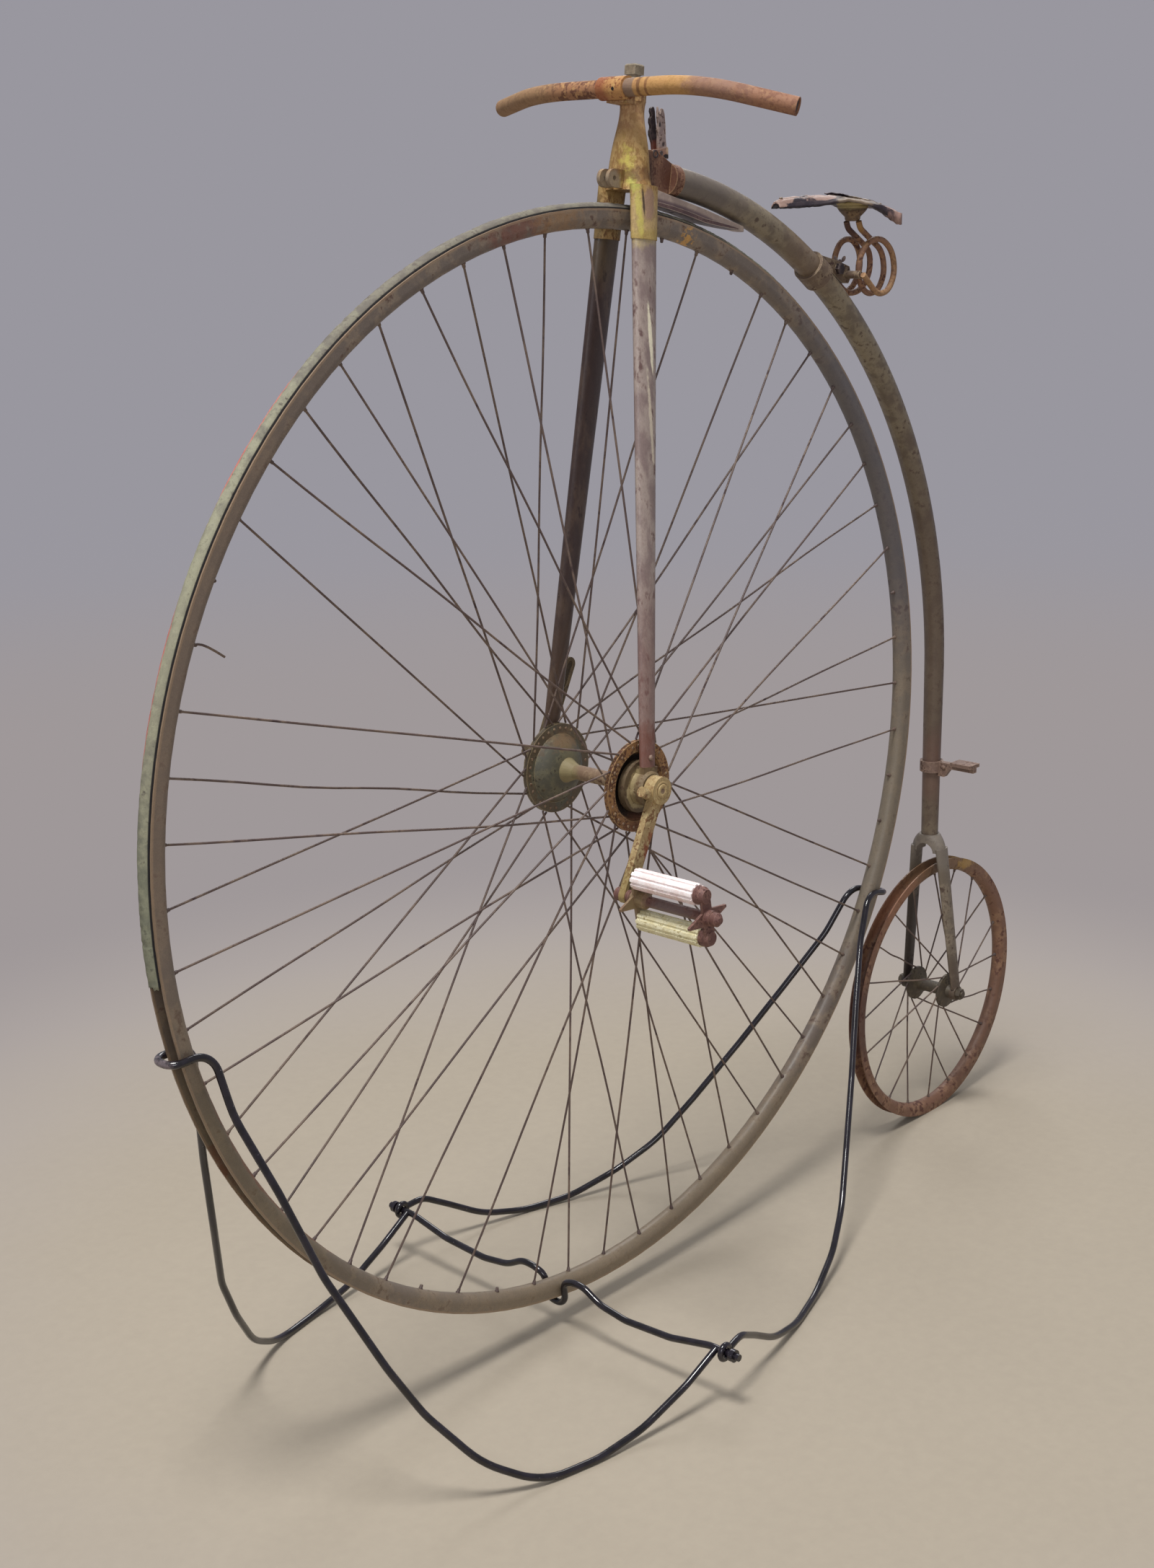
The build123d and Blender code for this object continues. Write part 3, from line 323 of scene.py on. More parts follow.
def build_streaks() -> None:
    """Builds the group that lays long upright scratches."""
    tree, given, out = new_group(
        Group.STREAKS.value, "ShaderNodeTree",
        (("Vector", "NodeSocketVector", None), ("Scale", "NodeSocketFloat", 60.0),
         ("Amount", "NodeSocketFloat", 0.3)),
        (("Mask", "NodeSocketFloat"),))
    stretch = tree.add("ShaderNodeMapping", None, Vector=given.outputs["Vector"], Scale=(1.0, 1.0, 0.09))
    line = tree.noise(stretch.outputs[0], given.outputs["Scale"], 4.0, 0.6)
    where = tree.noise(given.outputs["Vector"], 9.0, 2.0, 0.5)
    edge = tree.math("SUBTRACT", 0.74, tree.math("MULTIPLY", given.outputs["Amount"], 0.3))
    mask = tree.around(line, edge, 0.0, 0.06)
    tree.feed(out, "Mask", tree.math("MULTIPLY", mask, tree.step(where, 0.35, 0.6), clamp=True))


def build_mark() -> None:
    """Builds the group that marks the inside of a rough-edged oval space round a centre."""
    tree, given, out = new_group(
        Group.MARK.value, "ShaderNodeTree",
        (("Vector", "NodeSocketVector", None), ("Centre", "NodeSocketVector", None),
         ("Size", "NodeSocketVector", None), ("Fuzz", "NodeSocketFloat", 0.3), ("Soft", "NodeSocketFloat", 0.2),
         ("Grain", "NodeSocketFloat", 80.0)),
        (("Mask", "NodeSocketFloat"),))
    away = tree.vector("SUBTRACT", given.outputs["Vector"], given.outputs["Centre"]).outputs["Vector"]
    share = tree.vector("DIVIDE", away, given.outputs["Size"]).outputs["Vector"]
    reach = tree.vector("LENGTH", share).outputs["Value"]
    rough = tree.noise(given.outputs["Vector"], given.outputs["Grain"], 5.0, 0.65)
    swing = tree.math("MULTIPLY", tree.math("SUBTRACT", rough, 0.5), tree.math("MULTIPLY", given.outputs["Fuzz"], 4.0))
    low = tree.math("SUBTRACT", 1.0, given.outputs["Soft"])
    high = tree.math("ADD", 1.0, given.outputs["Soft"])
    outside = tree.step(tree.math("ADD", reach, swing), low, high)
    tree.feed(out, "Mask", tree.math("SUBTRACT", 1.0, outside, clamp=True))


# Finishes

ENDLESS = 9.0
COAT_ROUGH = 0.12


@dataclass(frozen=True)
class Mark:
    """A patch of another colour in an oval space, its centre and half sizes in metres.

    A size of ENDLESS in one direction makes the space a rod or a band.

    Attributes:
        centre: The space's middle.
        size: Its half sizes.
        colour: The patch's colour, 0 to 255.
        amount: How much it covers.
        fuzz: How ragged its edge is.
        soft: How gently it fades, as a share of its size.
        grain: The scale of the ragged edge.
        outside: Whether it covers all but the space.
    """

    centre: Triple
    size: Triple
    colour: tuple[int, int, int]
    amount: float = 1.0
    fuzz: float = 0.3
    soft: float = 0.25
    grain: float = 80.0
    outside: bool = False


@dataclass(frozen=True)
class Finish:
    """One finish of old metal, rubber or leather, all of them a base under patches, stains and chips.

    Colours go from 0 to 255. The scale counts the broad patches in a metre, and the relief is the bump's depth in
    metres. The wear's colour is for a mesh that says where it is worn.
    """

    name: str
    base: tuple[int, int, int]
    patch: tuple[int, int, int]
    stain: tuple[int, int, int]
    chip: tuple[int, int, int]
    patch_amount: float = 0.4
    stain_amount: float = 0.3
    chip_amount: float = 0.04
    scale: float = 18.0
    stretch: Triple = (1.0, 1.0, 1.0)
    rough: float = 0.5
    stain_rough: float = 0.8
    metallic: float = 0.0
    relief: float = 0.0005
    edge: float = 0.0
    edge_radius: float = 0.002
    edge_colour: tuple[int, int, int] = (124, 115, 105)
    streaks: float = 0.0
    streak_colour: tuple[int, int, int] = (218, 213, 203)
    coat: float = 0.0
    worn: Optional[tuple[int, int, int]] = None
    marks: tuple[Mark, ...] = ()

    def build(self) -> bpy.types.Material:
        """Builds the finish's material.

        Returns:
            The material, with its colour, roughness and bump from nodes.
        """
        made, tree = new_material(self.name)
        place = tree.add("ShaderNodeTexCoord").outputs["Object"]
        mapped = tree.add("ShaderNodeMapping", None, Vector=place, Scale=self.stretch).outputs[0]
        base, patch, stain, chip = ((*tone(*part), 1.0) for part in (self.base, self.patch, self.stain, self.chip))
        patina = tree.group(
            Group.PATINA, Vector=mapped, Scale=self.scale, Base=base, Patch=patch, Stain=stain, Chip=chip,
            Patch_Amount=self.patch_amount, Stain_Amount=self.stain_amount, Chip_Amount=self.chip_amount)
        colour = patina.outputs["Color"]
        if self.worn:
            wear = tree.add("ShaderNodeAttribute", {"attribute_name": "wear"}).outputs["Fac"]
            patchy = tree.math("ADD", wear, tree.math("SUBTRACT", tree.noise(mapped, 90.0, 5.0, 0.65), 0.5))
            colour = tree.mix(tree.step(patchy, 0.45, 0.6), colour, tone(*self.worn))
        if self.streaks:
            streak = tree.group(Group.STREAKS, Vector=place, Amount=self.streaks)
            colour = tree.mix(streak.outputs["Mask"], colour, tone(*self.streak_colour))
        for mark in self.marks:
            spot = tree.group(Group.MARK, Vector=place, Centre=mark.centre, Size=mark.size, Fuzz=mark.fuzz,
                              Soft=mark.soft, Grain=mark.grain).outputs["Mask"]
            if mark.outside:
                spot = tree.math("SUBTRACT", 1.0, spot)
            colour = tree.mix(tree.math("MULTIPLY", spot, mark.amount), colour, tone(*mark.colour))
        # Pale outer edges: worn paint on most finishes, a painted highlight on the trough's lip.
        if self.edge:
            rubbed_or_lit = tree.group(Group.EDGE_WEAR, Vector=place, Radius=self.edge_radius, Amount=self.edge)
            colour = tree.mix(rubbed_or_lit.outputs["Mask"], colour, tone(*self.edge_colour))
        colour = tree.mix(1.0, colour, patina.outputs["Shade"], "MULTIPLY")
        rough = tree.add("ShaderNodeMapRange", None, Value=patina.outputs["Stain Mask"])
        tree.feed(rough, "To Min", self.rough)
        tree.feed(rough, "To Max", self.stain_rough)
        bump = tree.add("ShaderNodeBump", None, Strength=1.0, Distance=self.relief, Height=patina.outputs["Height"])
        shader = tree.add("ShaderNodeBsdfPrincipled", None, Base_Color=colour, Roughness=rough.outputs["Result"],
                          Normal=bump.outputs["Normal"], Metallic=self.metallic)
        if self.coat:
            tree.feed(shader, "Coat Weight", self.coat)
            tree.feed(shader, "Coat Roughness", COAT_ROUGH)
        tree.feed(tree.add("ShaderNodeOutputMaterial"), "Surface", shader.outputs[0])
        return made


def joint_at(name: str) -> Vector:
    """The place of one of the frame's joints."""
    return Vector(next(joint["pos_m"] for joint in frame["joints"] if joint["name"] == name))


HUB = joint_at("front_wheel_spin")
AXLE = Vector((HUB.x, 0.0, HUB.z))
REAR = joint_at("rear_wheel_spin")
PEDAL = joint_at("pedal_spin")
CLAMP = Vector((-0.2827, 0.0, 1.2536))
CLAMP_BOLT = CLAMP + Vector((-0.0427, 0.0070, 0.0015))
WING_NUT = CLAMP + Vector((-0.0560, 0.0, 0.0062))
RIM_OUTER = 0.651
NUT_SIDES = 6
# Painted shade: a near-black ring on the tyre's foot, up to 1.8 mm beyond the rim's edge, stands for the shaded gap
# between tyre and rim.
TYRE_GAP_SHADE = Mark(tuple(HUB), (RIM_OUTER + 0.0018, ENDLESS, RIM_OUTER + 0.0018), (20, 18, 20), 1.0, 0.0, 0.0008)


def round_rim(degrees: float, radius: float, size: float, colour: tuple[int, int, int], **more: object) -> Mark:
    """Makes a round mark on the front wheel.

    Args:
        degrees: Its angle from forward and up over the top.
        radius: Its distance from the hub, in metres.
        size: Its own radius, in metres.
        colour: Its colour, 0 to 255.
        **more: A mark's other fields.

    Returns:
        The mark.
    """
    angle = math.radians(degrees)
    centre = (HUB.x + radius * math.cos(angle), 0.0, HUB.z + radius * math.sin(angle))
    return Mark(centre, (size, size, size), colour, **more)


# Finish: name, colours of base, patch, stain and chip, amounts of the last three.
# Mark: centre, half sizes, colour, amount, fuzz, soft, grain.

FORK_OCHRE = Finish(
    "fork_ochre", (172, 136, 86), (198, 166, 112), (112, 72, 44), (80, 48, 30), 0.5, 0.5, 0.2,
    scale=70.0, stretch=(1.0, 1.0, 0.6), rough=0.52, relief=0.0007, edge=0.35, edge_colour=(112, 78, 48), marks=(
        Mark((0.080, 0.0, 1.43), (ENDLESS, ENDLESS, 0.022), (176, 138, 100), 0.6, 0.3, 0.5, 50.0),
        Mark((0.080, 0.0, 1.3795), (0.05, ENDLESS, 0.042), (172, 140, 80), 0.45, 0.6, 0.4, 60.0),
        Mark((0.086, 0.022, 1.395), (0.0055, 0.018, 0.034), (200, 190, 92), 0.8, 0.6, 0.5, 120.0),
        Mark((0.092, 0.030, 1.367), (0.010, 0.018, 0.010), (176, 178, 92), 0.75, 0.6, 0.5, 130.0),
        Mark((0.070, 0.030, 1.325), (ENDLESS, 0.02, 0.024), (190, 168, 120), 0.6, 0.6, 0.4, 90.0),
        Mark((0.070, 0.030, 1.303), (ENDLESS, 0.02, 0.009), (172, 150, 82), 0.6, 0.6, 0.5, 100.0),
        Mark((0.088, 0.030, 1.33), (0.0035, 0.02, 0.024), (196, 186, 92), 0.7, 0.5, 0.5, 130.0),
        Mark((0.074, 0.034, 1.338), (0.0095, 0.02, 0.019), (150, 120, 104), 0.85, 0.4, 0.3, 70.0),
        Mark((0.0825, 0.034, 1.342), (0.0014, 0.02, 0.015), (44, 30, 20), 0.85, 0.3, 0.4, 90.0),
        Mark((0.078, 0.0, 1.372), (0.030, 0.05, 0.007), (92, 56, 30), 0.75, 0.9, 0.6, 110.0),
        Mark((0.104, 0.006, 1.384), (0.014, 0.03, 0.018), (110, 68, 38), 0.6, 0.8, 0.6, 110.0),
        Mark((0.107, 0.0, 1.361), (0.013, ENDLESS, 0.016), (138, 124, 106), 0.85, 0.2, 0.3, 60.0),
        Mark((0.07, -0.035, 1.32), (ENDLESS, 0.016, 0.04), (96, 82, 50), 0.75, 0.4, 0.4, 50.0)))
LUG_OCHRE = Finish(
    "lug_ochre", (176, 128, 76), (196, 156, 98), (122, 70, 40), (84, 46, 26), 0.4, 0.45, 0.1,
    scale=80.0, rough=0.6, relief=0.0006, marks=(
        Mark((0.09, -0.016, 1.463), (ENDLESS, 0.012, ENDLESS), (138, 76, 46), 0.85, 0.4, 0.5, 60.0),
        Mark((0.1040, 0.007, 1.4625), (0.006, 0.0022, 0.0022), (22, 14, 10), 1.0, 0.0, 0.1)))
BOLT_OLIVE = Finish(
    "bolt_olive", (122, 110, 92), (146, 134, 114), (88, 72, 56), (180, 172, 156), 0.4, 0.3, 0.03,
    scale=100.0, rough=0.5, metallic=0.2, relief=0.0003, edge=0.4, edge_colour=(176, 168, 150))
BAR_RUST = Finish(
    "bar_rust", (152, 108, 76), (182, 140, 92), (100, 62, 46), (206, 170, 120), 0.45, 0.5, 0.08,
    scale=62.0, rough=0.68, relief=0.0006, marks=(
        Mark((0.08, 0.075, 1.46), (ENDLESS, 0.050, ENDLESS), (190, 146, 84), 0.65, 0.7, 0.4, 60.0),
        Mark((0.08, -0.17, 1.45), (ENDLESS, 0.075, ENDLESS), (146, 116, 84), 0.75, 0.3, 0.5, 26.0),
        Mark((0.07, 0.175, 1.45), (ENDLESS, 0.066, ENDLESS), (140, 98, 78), 0.6, 0.3, 0.1, 60.0),
        Mark((0.07, 0.135, 1.46), (ENDLESS, 0.030, ENDLESS), (132, 102, 88), 0.5, 0.5, 0.5, 60.0),
        Mark((0.08, 0.041, 1.46), (ENDLESS, 0.0022, ENDLESS), (96, 58, 36), 0.75, 0.6, 0.5, 90.0),
        Mark((0.08, 0.052, 1.46), (ENDLESS, 0.0018, ENDLESS), (110, 66, 38), 0.7, 0.6, 0.5, 90.0),
        Mark((0.08, 0.026, 1.46), (ENDLESS, 0.007, ENDLESS), (122, 100, 86), 0.9, 0.15, 0.2, 60.0),
        Mark((0.0905, 0.106, 1.4625), (0.006, 0.0024, 0.0024), (24, 14, 10), 1.0, 0.0, 0.1)))
LEG_NEAR = Finish(
    "leg_near", (132, 115, 112), (160, 145, 138), (100, 76, 73), (84, 60, 56), 0.55, 0.38, 0.05,
    scale=42.0, stretch=(1.0, 1.0, 0.45), rough=0.36, stain_rough=0.6, relief=0.0003, streaks=0.25,
    streak_colour=(206, 196, 170), marks=(
        Mark((0.1, 0.05, 1.312), (ENDLESS, ENDLESS, 0.014), (186, 168, 116), 0.8, 0.6, 0.6, 90.0),
        Mark((0.1, 0.05, 0.80), (ENDLESS, ENDLESS, 0.09), (116, 84, 78), 0.6, 0.25, 0.9, 24.0),
        Mark((0.1, 0.05, 0.715), (ENDLESS, ENDLESS, 0.045), (112, 70, 58), 0.85, 0.5, 0.6, 40.0),
        Mark((0.0862, 0.043, 1.193), (0.0032, 0.02, 0.036), (236, 228, 204), 0.95, 0.2, 0.2, 110.0),
        Mark((0.0955, 0.052, 1.10), (0.0026, 0.02, 0.050), (214, 202, 182), 0.7, 0.4, 0.3, 90.0)))
# Partly its own darker paint, partly painted shade: the far leg is much darker than the near one because it lies in
# shade.
LEG_FAR_SHADED = Finish(
    "leg_far", (62, 48, 46), (82, 66, 58), (46, 32, 33), (112, 92, 76), 0.42, 0.34, 0.04,
    scale=42.0, stretch=(1.0, 1.0, 0.4), rough=0.36, stain_rough=0.6, relief=0.0003, marks=(
        Mark((0.08, -0.03, 1.30), (ENDLESS, ENDLESS, 0.04), (84, 72, 50), 0.5, 0.4, 0.5, 50.0),
        Mark((0.12, -0.07, 0.75), (ENDLESS, ENDLESS, 0.10), (120, 96, 74), 0.35, 0.4, 0.9, 30.0)))
HOUSING_OLIVE = Finish(
    "housing_olive", (148, 132, 96), (176, 160, 122), (98, 78, 50), (66, 48, 32), 0.42, 0.36, 0.06,
    scale=80.0, rough=0.55, relief=0.0006, edge=0.3, edge_colour=(84, 62, 40), marks=(
        # Painted shade: the disc's ring beyond 25.5 mm from the axle is painted dark brown, as if in shadow.
        Mark((HUB.x, 0.066, HUB.z), (0.0255, ENDLESS, 0.0255), (70, 50, 36), 0.8, 0.2, 0.06, 60.0, outside=True),
        Mark((HUB.x, 0.083, HUB.z), (0.05, 0.006, 0.05), (92, 68, 46), 0.7, 0.3, 0.4, 60.0)))
AXLE_TAN = Finish(
    "axle_tan", (126, 102, 82), (150, 128, 102), (88, 62, 48), (172, 150, 120), 0.45, 0.36, 0.03,
    scale=70.0, rough=0.6, relief=0.0004, marks=(
        Mark((HUB.x, -0.04, HUB.z), (0.03, 0.016, 0.03), (136, 126, 88), 0.8, 0.3, 0.5, 60.0),))
CRANK_OCHRE = Finish(
    "crank_ochre", (158, 134, 94), (190, 170, 126), (116, 82, 52), (88, 54, 32), 0.5, 0.46, 0.12,
    scale=80.0, rough=0.5, relief=0.0006, edge=0.25, edge_colour=(110, 72, 40), marks=(
        Mark((0.166, 0.0955, 0.611), (0.0055, 0.02, 0.018), (122, 58, 32), 0.9, 0.6, 0.4, 120.0),
        Mark((0.1585, 0.0955, 0.632), (0.004, 0.02, 0.010), (128, 64, 34), 0.8, 0.6, 0.4, 130.0),
        Mark((HUB.x, 0.1, HUB.z), (0.018, ENDLESS, 0.018), (184, 160, 112), 0.6, 0.4, 0.3, 70.0),
        Mark((0.19, 0.0955, 0.575), (0.03, ENDLESS, 0.03), (142, 124, 74), 0.6, 0.35, 0.5, 60.0)))
CRANK_DARK = Finish(
    "crank_dark", (84, 70, 50), (112, 94, 66), (58, 42, 30), (130, 108, 78), 0.4, 0.35, 0.04,
    scale=60.0, rough=0.6, relief=0.0005, edge=0.3, edge_colour=(120, 96, 66))
HUB_OLIVE = Finish(
    "hub_olive", (82, 80, 68), (102, 98, 78), (58, 52, 44), (132, 112, 80), 0.42, 0.34, 0.04,
    scale=70.0, rough=0.46, relief=0.0005, edge=0.6, edge_radius=0.0016, edge_colour=(172, 152, 116), marks=(
        Mark((0.134, -0.058, 0.7205), (0.026, 0.03, 0.011), (126, 98, 68), 0.7, 0.9, 0.6, 80.0),
        Mark((0.136, -0.05, 0.692), (0.014, 0.03, 0.016), (126, 118, 84), 0.6, 0.3, 0.8, 40.0),
        Mark((HUB.x, -0.064, HUB.z), (0.0445, ENDLESS, 0.0445), (92, 76, 56), 0.75, 0.4, 0.03, 60.0, outside=True)))
HUB_ORANGE = Finish(
    "hub_orange", (146, 106, 66), (176, 140, 92), (88, 54, 36), (48, 30, 22), 0.45, 0.52, 0.24,
    scale=95.0, rough=0.62, relief=0.0007, edge=0.4, edge_radius=0.0015, edge_colour=(196, 168, 118), marks=(
        # Painted shade: the flange's dish within 41.5 mm of the axle is painted near black for the shade in the gap
        # inside it.
        Mark((HUB.x, 0.05, HUB.z), (0.0415, 0.035, 0.0415), (32, 22, 18), 0.92, 0.1, 0.06, 60.0),
        Mark((HUB.x, 0.064, 0.634), (0.04, 0.03, 0.016), (108, 66, 44), 0.7, 0.5, 0.5, 60.0)))
RIM_STEEL = Finish(
    "rim_steel", (108, 97, 89), (130, 115, 100), (90, 70, 62), (66, 56, 52), 0.45, 0.36, 0.06,
    scale=38.0, rough=0.42, stain_rough=0.7, relief=0.0004, marks=(
        round_rim(150.0, 0.64, 0.24, (90, 87, 91), amount=0.8, soft=0.5, grain=12.0),
        round_rim(197.0, 0.64, 0.20, (122, 112, 96), amount=0.7, soft=0.6, grain=12.0),
        round_rim(268.0, 0.64, 0.36, (128, 113, 92), amount=0.75, soft=0.5, grain=12.0),
        round_rim(330.0, 0.64, 0.20, (110, 98, 76), amount=0.6, soft=0.6, grain=14.0),
        round_rim(22.0, 0.64, 0.30, (118, 102, 88), amount=0.7, soft=0.5, grain=12.0),
        round_rim(79.0, 0.64, 0.040, (112, 72, 60), amount=0.8, fuzz=1.2, soft=0.7, grain=80.0),
        round_rim(85.0, 0.64, 0.030, (140, 108, 74), amount=0.7, fuzz=1.0, soft=0.7, grain=80.0),
        round_rim(104.9, 0.6405, 0.0125, (192, 146, 78), amount=0.95, fuzz=0.8, soft=0.2, grain=150.0),
        # Partly worn metal, partly painted highlight: the rim's outer lip beyond 648.6 mm is painted paler along its
        # lit edge.
        Mark(tuple(HUB), (0.6486, ENDLESS, 0.6486), (150, 126, 102), 0.6, 0.0, 0.0012, outside=True),
        Mark((HUB.x + 0.575, 0.0, HUB.z - 0.30), (0.16, 0.0088, 0.26), (112, 74, 54), 0.8, 0.2, 0.1, 40.0)))
TYRE_RUBBER = Finish(
    "tyre_rubber", (106, 102, 92), (140, 138, 118), (82, 76, 70), (60, 54, 52), 0.5, 0.34, 0.08,
    scale=60.0, rough=0.75, stain_rough=0.9, relief=0.0007, marks=(
        round_rim(78.0, 0.655, 0.30, (106, 98, 90), amount=0.6, soft=0.6, grain=14.0),
        round_rim(25.0, 0.655, 0.20, (158, 156, 132), amount=0.6, fuzz=0.9, soft=0.8, grain=90.0),
        round_rim(-2.0, 0.655, 0.10, (120, 126, 106), amount=0.5, fuzz=0.8, soft=0.8, grain=60.0),
        Mark((0.63, -0.0047, 1.135), (0.085, 0.0034, 0.085), (202, 112, 102), 0.85, 0.2, 0.2, 60.0),
        Mark((0.757, -0.0054, 0.91), (0.060, 0.0034, 0.090), (196, 108, 102), 0.85, 0.2, 0.2, 60.0),
        TYRE_GAP_SHADE))
SPOKE_STEEL = Finish(
    "spoke_steel", (86, 70, 66), (112, 94, 82), (66, 50, 50), (176, 158, 142), 0.45, 0.35, 0.03,
    scale=20.0, rough=0.5, relief=0.0001)
BACKBONE_ENAMEL = Finish(
    "backbone_enamel", (104, 92, 78), (130, 118, 98), (82, 66, 56), (164, 148, 120), 0.55, 0.36, 0.07,
    scale=40.0, rough=0.4, stain_rough=0.62, relief=0.0003, marks=(
        Mark((0.0, 0.0, 1.385), (0.16, ENDLESS, 0.075), (128, 117, 106), 0.7, 0.35, 0.6, 24.0),
        Mark((-0.02, 0.0, 1.350), (0.09, ENDLESS, 0.028), (84, 76, 72), 0.6, 0.4, 0.6, 30.0),
        Mark((-0.26, 0.0, 1.27), (0.05, ENDLESS, 0.05), (112, 92, 76), 0.6, 0.4, 0.6, 30.0),
        Mark((-0.6, 0.0, 0.70), (0.25, ENDLESS, 0.36), (84, 68, 58), 0.75, 0.3, 0.5, 20.0),
        Mark((-0.585, 0.0, 0.545), (0.04, ENDLESS, 0.045), (108, 82, 72), 0.6, 0.4, 0.5, 40.0)))
FORK_REAR = Finish(
    "rear_fork_olive", (108, 97, 84), (130, 118, 102), (78, 62, 52), (152, 138, 112), 0.42, 0.38,
    0.05, scale=50.0, rough=0.44, stain_rough=0.7, relief=0.0004, marks=(
        Mark((-0.584, 0.0, 0.425), (0.05, ENDLESS, 0.03), (122, 114, 106), 0.7, 0.3, 0.4, 40.0),
        Mark((-0.6, -0.04, 0.29), (0.1, 0.022, 0.14), (44, 36, 34), 0.9, 0.2, 0.3, 40.0),
        Mark((-0.6, 0.04, 0.20), (0.04, 0.03, 0.05), (72, 56, 46), 0.7, 0.4, 0.6, 50.0)))
TROUGH_PINK = Finish(
    "trough_pink", (158, 140, 132), (178, 160, 148), (118, 94, 90), (96, 74, 68), 0.45, 0.3, 0.04,
    scale=45.0, rough=0.4, relief=0.0003, edge=0.4, edge_colour=(204, 190, 178), marks=(
        # Painted shade: the trough's part within 669 mm of the axle, nearest the tyre, is painted dark where it faces
        # down.
        Mark(tuple(HUB), (0.6690, ENDLESS, 0.6690), (88, 66, 74), 0.85, 0.0, 0.003),))
# Painted shade and highlight: the lip stands for the trough's lower face; its dark base is painted shade where that
# face looks down, and its pale edges are a painted highlight where the edge catches the light.
TROUGH_LIP_SHADED = Finish(
    "trough_dark", (82, 60, 62), (104, 80, 78), (60, 42, 46), (132, 108, 98), 0.45, 0.34, 0.04,
    scale=50.0, rough=0.42, relief=0.0003, edge=0.8, edge_radius=0.0012, edge_colour=(206, 190, 172))
STRIP_DARK = Finish(
    "strip_dark", (44, 34, 38), (70, 58, 58), (32, 24, 28), (120, 104, 100), 0.4, 0.3, 0.04,
    scale=110.0, rough=0.42, metallic=0.2, relief=0.0005, edge=0.35, edge_colour=(140, 124, 118), marks=(
        Mark((0.0285, -0.0022, 1.402), (0.012, 0.01, 0.0075), (126, 70, 54), 0.85, 0.5, 0.4, 90.0),))
STRIP_PALE = Finish(
    "strip_pale", (134, 116, 114), (162, 142, 134), (88, 66, 64), (214, 196, 180), 0.45, 0.42, 0.06,
    scale=120.0, rough=0.45, metallic=0.1, relief=0.0006, edge=0.5, edge_colour=(196, 180, 168), marks=(
        Mark((0.0222, 0.006, 1.4255), (0.0016, 0.01, 0.0024), (30, 20, 22), 0.95, 0.3, 0.3, 120.0),
        Mark((0.0165, 0.006, 1.4045), (0.0020, 0.01, 0.0022), (40, 26, 26), 0.9, 0.3, 0.3, 120.0),
        Mark((0.020, 0.006, 1.396), (0.017, 0.01, 0.0055), (150, 108, 84), 0.8, 0.6, 0.4, 90.0),
        Mark((0.0085, 0.0, 1.398), (0.0040, 0.01, 0.0050), (206, 182, 152), 0.85, 0.4, 0.4, 90.0),
        Mark((0.0115, 0.0075, 1.3915), (0.0050, 0.003, 0.0022), (26, 18, 18), 1.0, 0.2, 0.2, 90.0)))
NECK_BROWN = Finish(
    "neck_brown", (112, 78, 60), (138, 102, 78), (84, 50, 38), (184, 150, 110), 0.42, 0.44, 0.07,
    scale=85.0, rough=0.55, relief=0.0006, edge=0.45, edge_colour=(184, 150, 112), marks=(
        # Painted shade: these two dark patches stand for the shade in the recess of the neck's collar.
        Mark((0.010, 0.0, 1.374), (0.012, ENDLESS, 0.020), (84, 48, 34), 0.8, 0.4, 0.4, 60.0),
        Mark((0.05, 0.0, 1.372), (0.018, ENDLESS, 0.03), (58, 40, 34), 0.7, 0.3, 0.5, 60.0)))
SPRING_RUST = Finish(
    "spring_rust", (128, 92, 72), (156, 116, 82), (84, 52, 46), (196, 166, 114), 0.45, 0.42, 0.06,
    scale=75.0, rough=0.55, relief=0.0005, marks=(
        # Painted highlight: the near coil's outer side is painted lighter where the light falls on it.
        Mark((-0.388, 0.036, 1.262), (0.05, 0.010, 0.05), (168, 132, 92), 0.65, 0.7, 0.6, 60.0),
        Mark((-0.366, 0.01, 1.298), (0.006, 0.012, 0.016), (160, 120, 62), 0.7, 0.4, 0.6, 60.0),
        # Painted shade: the spring's far side is painted dark.
        Mark((-0.366, -0.01, 1.298), (0.02, 0.008, 0.02), (66, 40, 38), 0.8, 0.3, 0.4, 60.0)))
CLAMP_BROWN = Finish(
    "clamp_brown", (106, 88, 74), (130, 112, 92), (74, 54, 48), (180, 164, 138), 0.42, 0.4, 0.05,
    scale=75.0, rough=0.5, metallic=0.1, relief=0.0004, edge=0.45, edge_colour=(168, 150, 124))
NUT_GREY = Finish(
    "nut_grey", (122, 104, 100), (146, 128, 120), (88, 68, 66), (190, 174, 160), 0.42, 0.36, 0.05,
    scale=110.0, rough=0.5, metallic=0.1, relief=0.0004, edge=0.4, edge_colour=(176, 158, 148))
BOSS_CREAM = Finish(
    "boss_cream", (104, 82, 62), (130, 106, 76), (68, 50, 40), (170, 148, 108), 0.42, 0.42, 0.06,
    scale=100.0, rough=0.55, relief=0.0007, marks=(
        Mark((-0.355, 0.02, 1.3325), (0.03, 0.04, 0.0050), (192, 174, 124), 0.9, 0.6, 0.3, 110.0),
        Mark((-0.355, 0.02, 1.3270), (0.03, 0.04, 0.0022), (70, 52, 34), 0.7, 0.5, 0.4, 110.0)))
SADDLE_BLACK = Finish(
    "saddle_leather", (36, 27, 36), (50, 40, 46), (74, 56, 56), (124, 100, 92), 0.4, 0.2, 0.04,
    scale=85.0, rough=0.45, stain_rough=0.75, relief=0.0007, worn=(146, 120, 110), marks=(
        Mark((-0.405, 0.0, 1.310), (0.024, 0.06, 0.022), (172, 136, 126), 0.6, 0.9, 0.5, 90.0),
        Mark((-0.335, 0.03, 1.338), (0.035, 0.02, 0.006), (160, 140, 116), 0.55, 0.6, 0.5, 80.0)))
STEP_BROWN = Finish(
    "step_brown", (114, 92, 82), (136, 112, 98), (82, 60, 54), (160, 136, 112), 0.42, 0.4, 0.05,
    scale=75.0, rough=0.55, relief=0.0005, edge=0.4, edge_colour=(156, 132, 114))
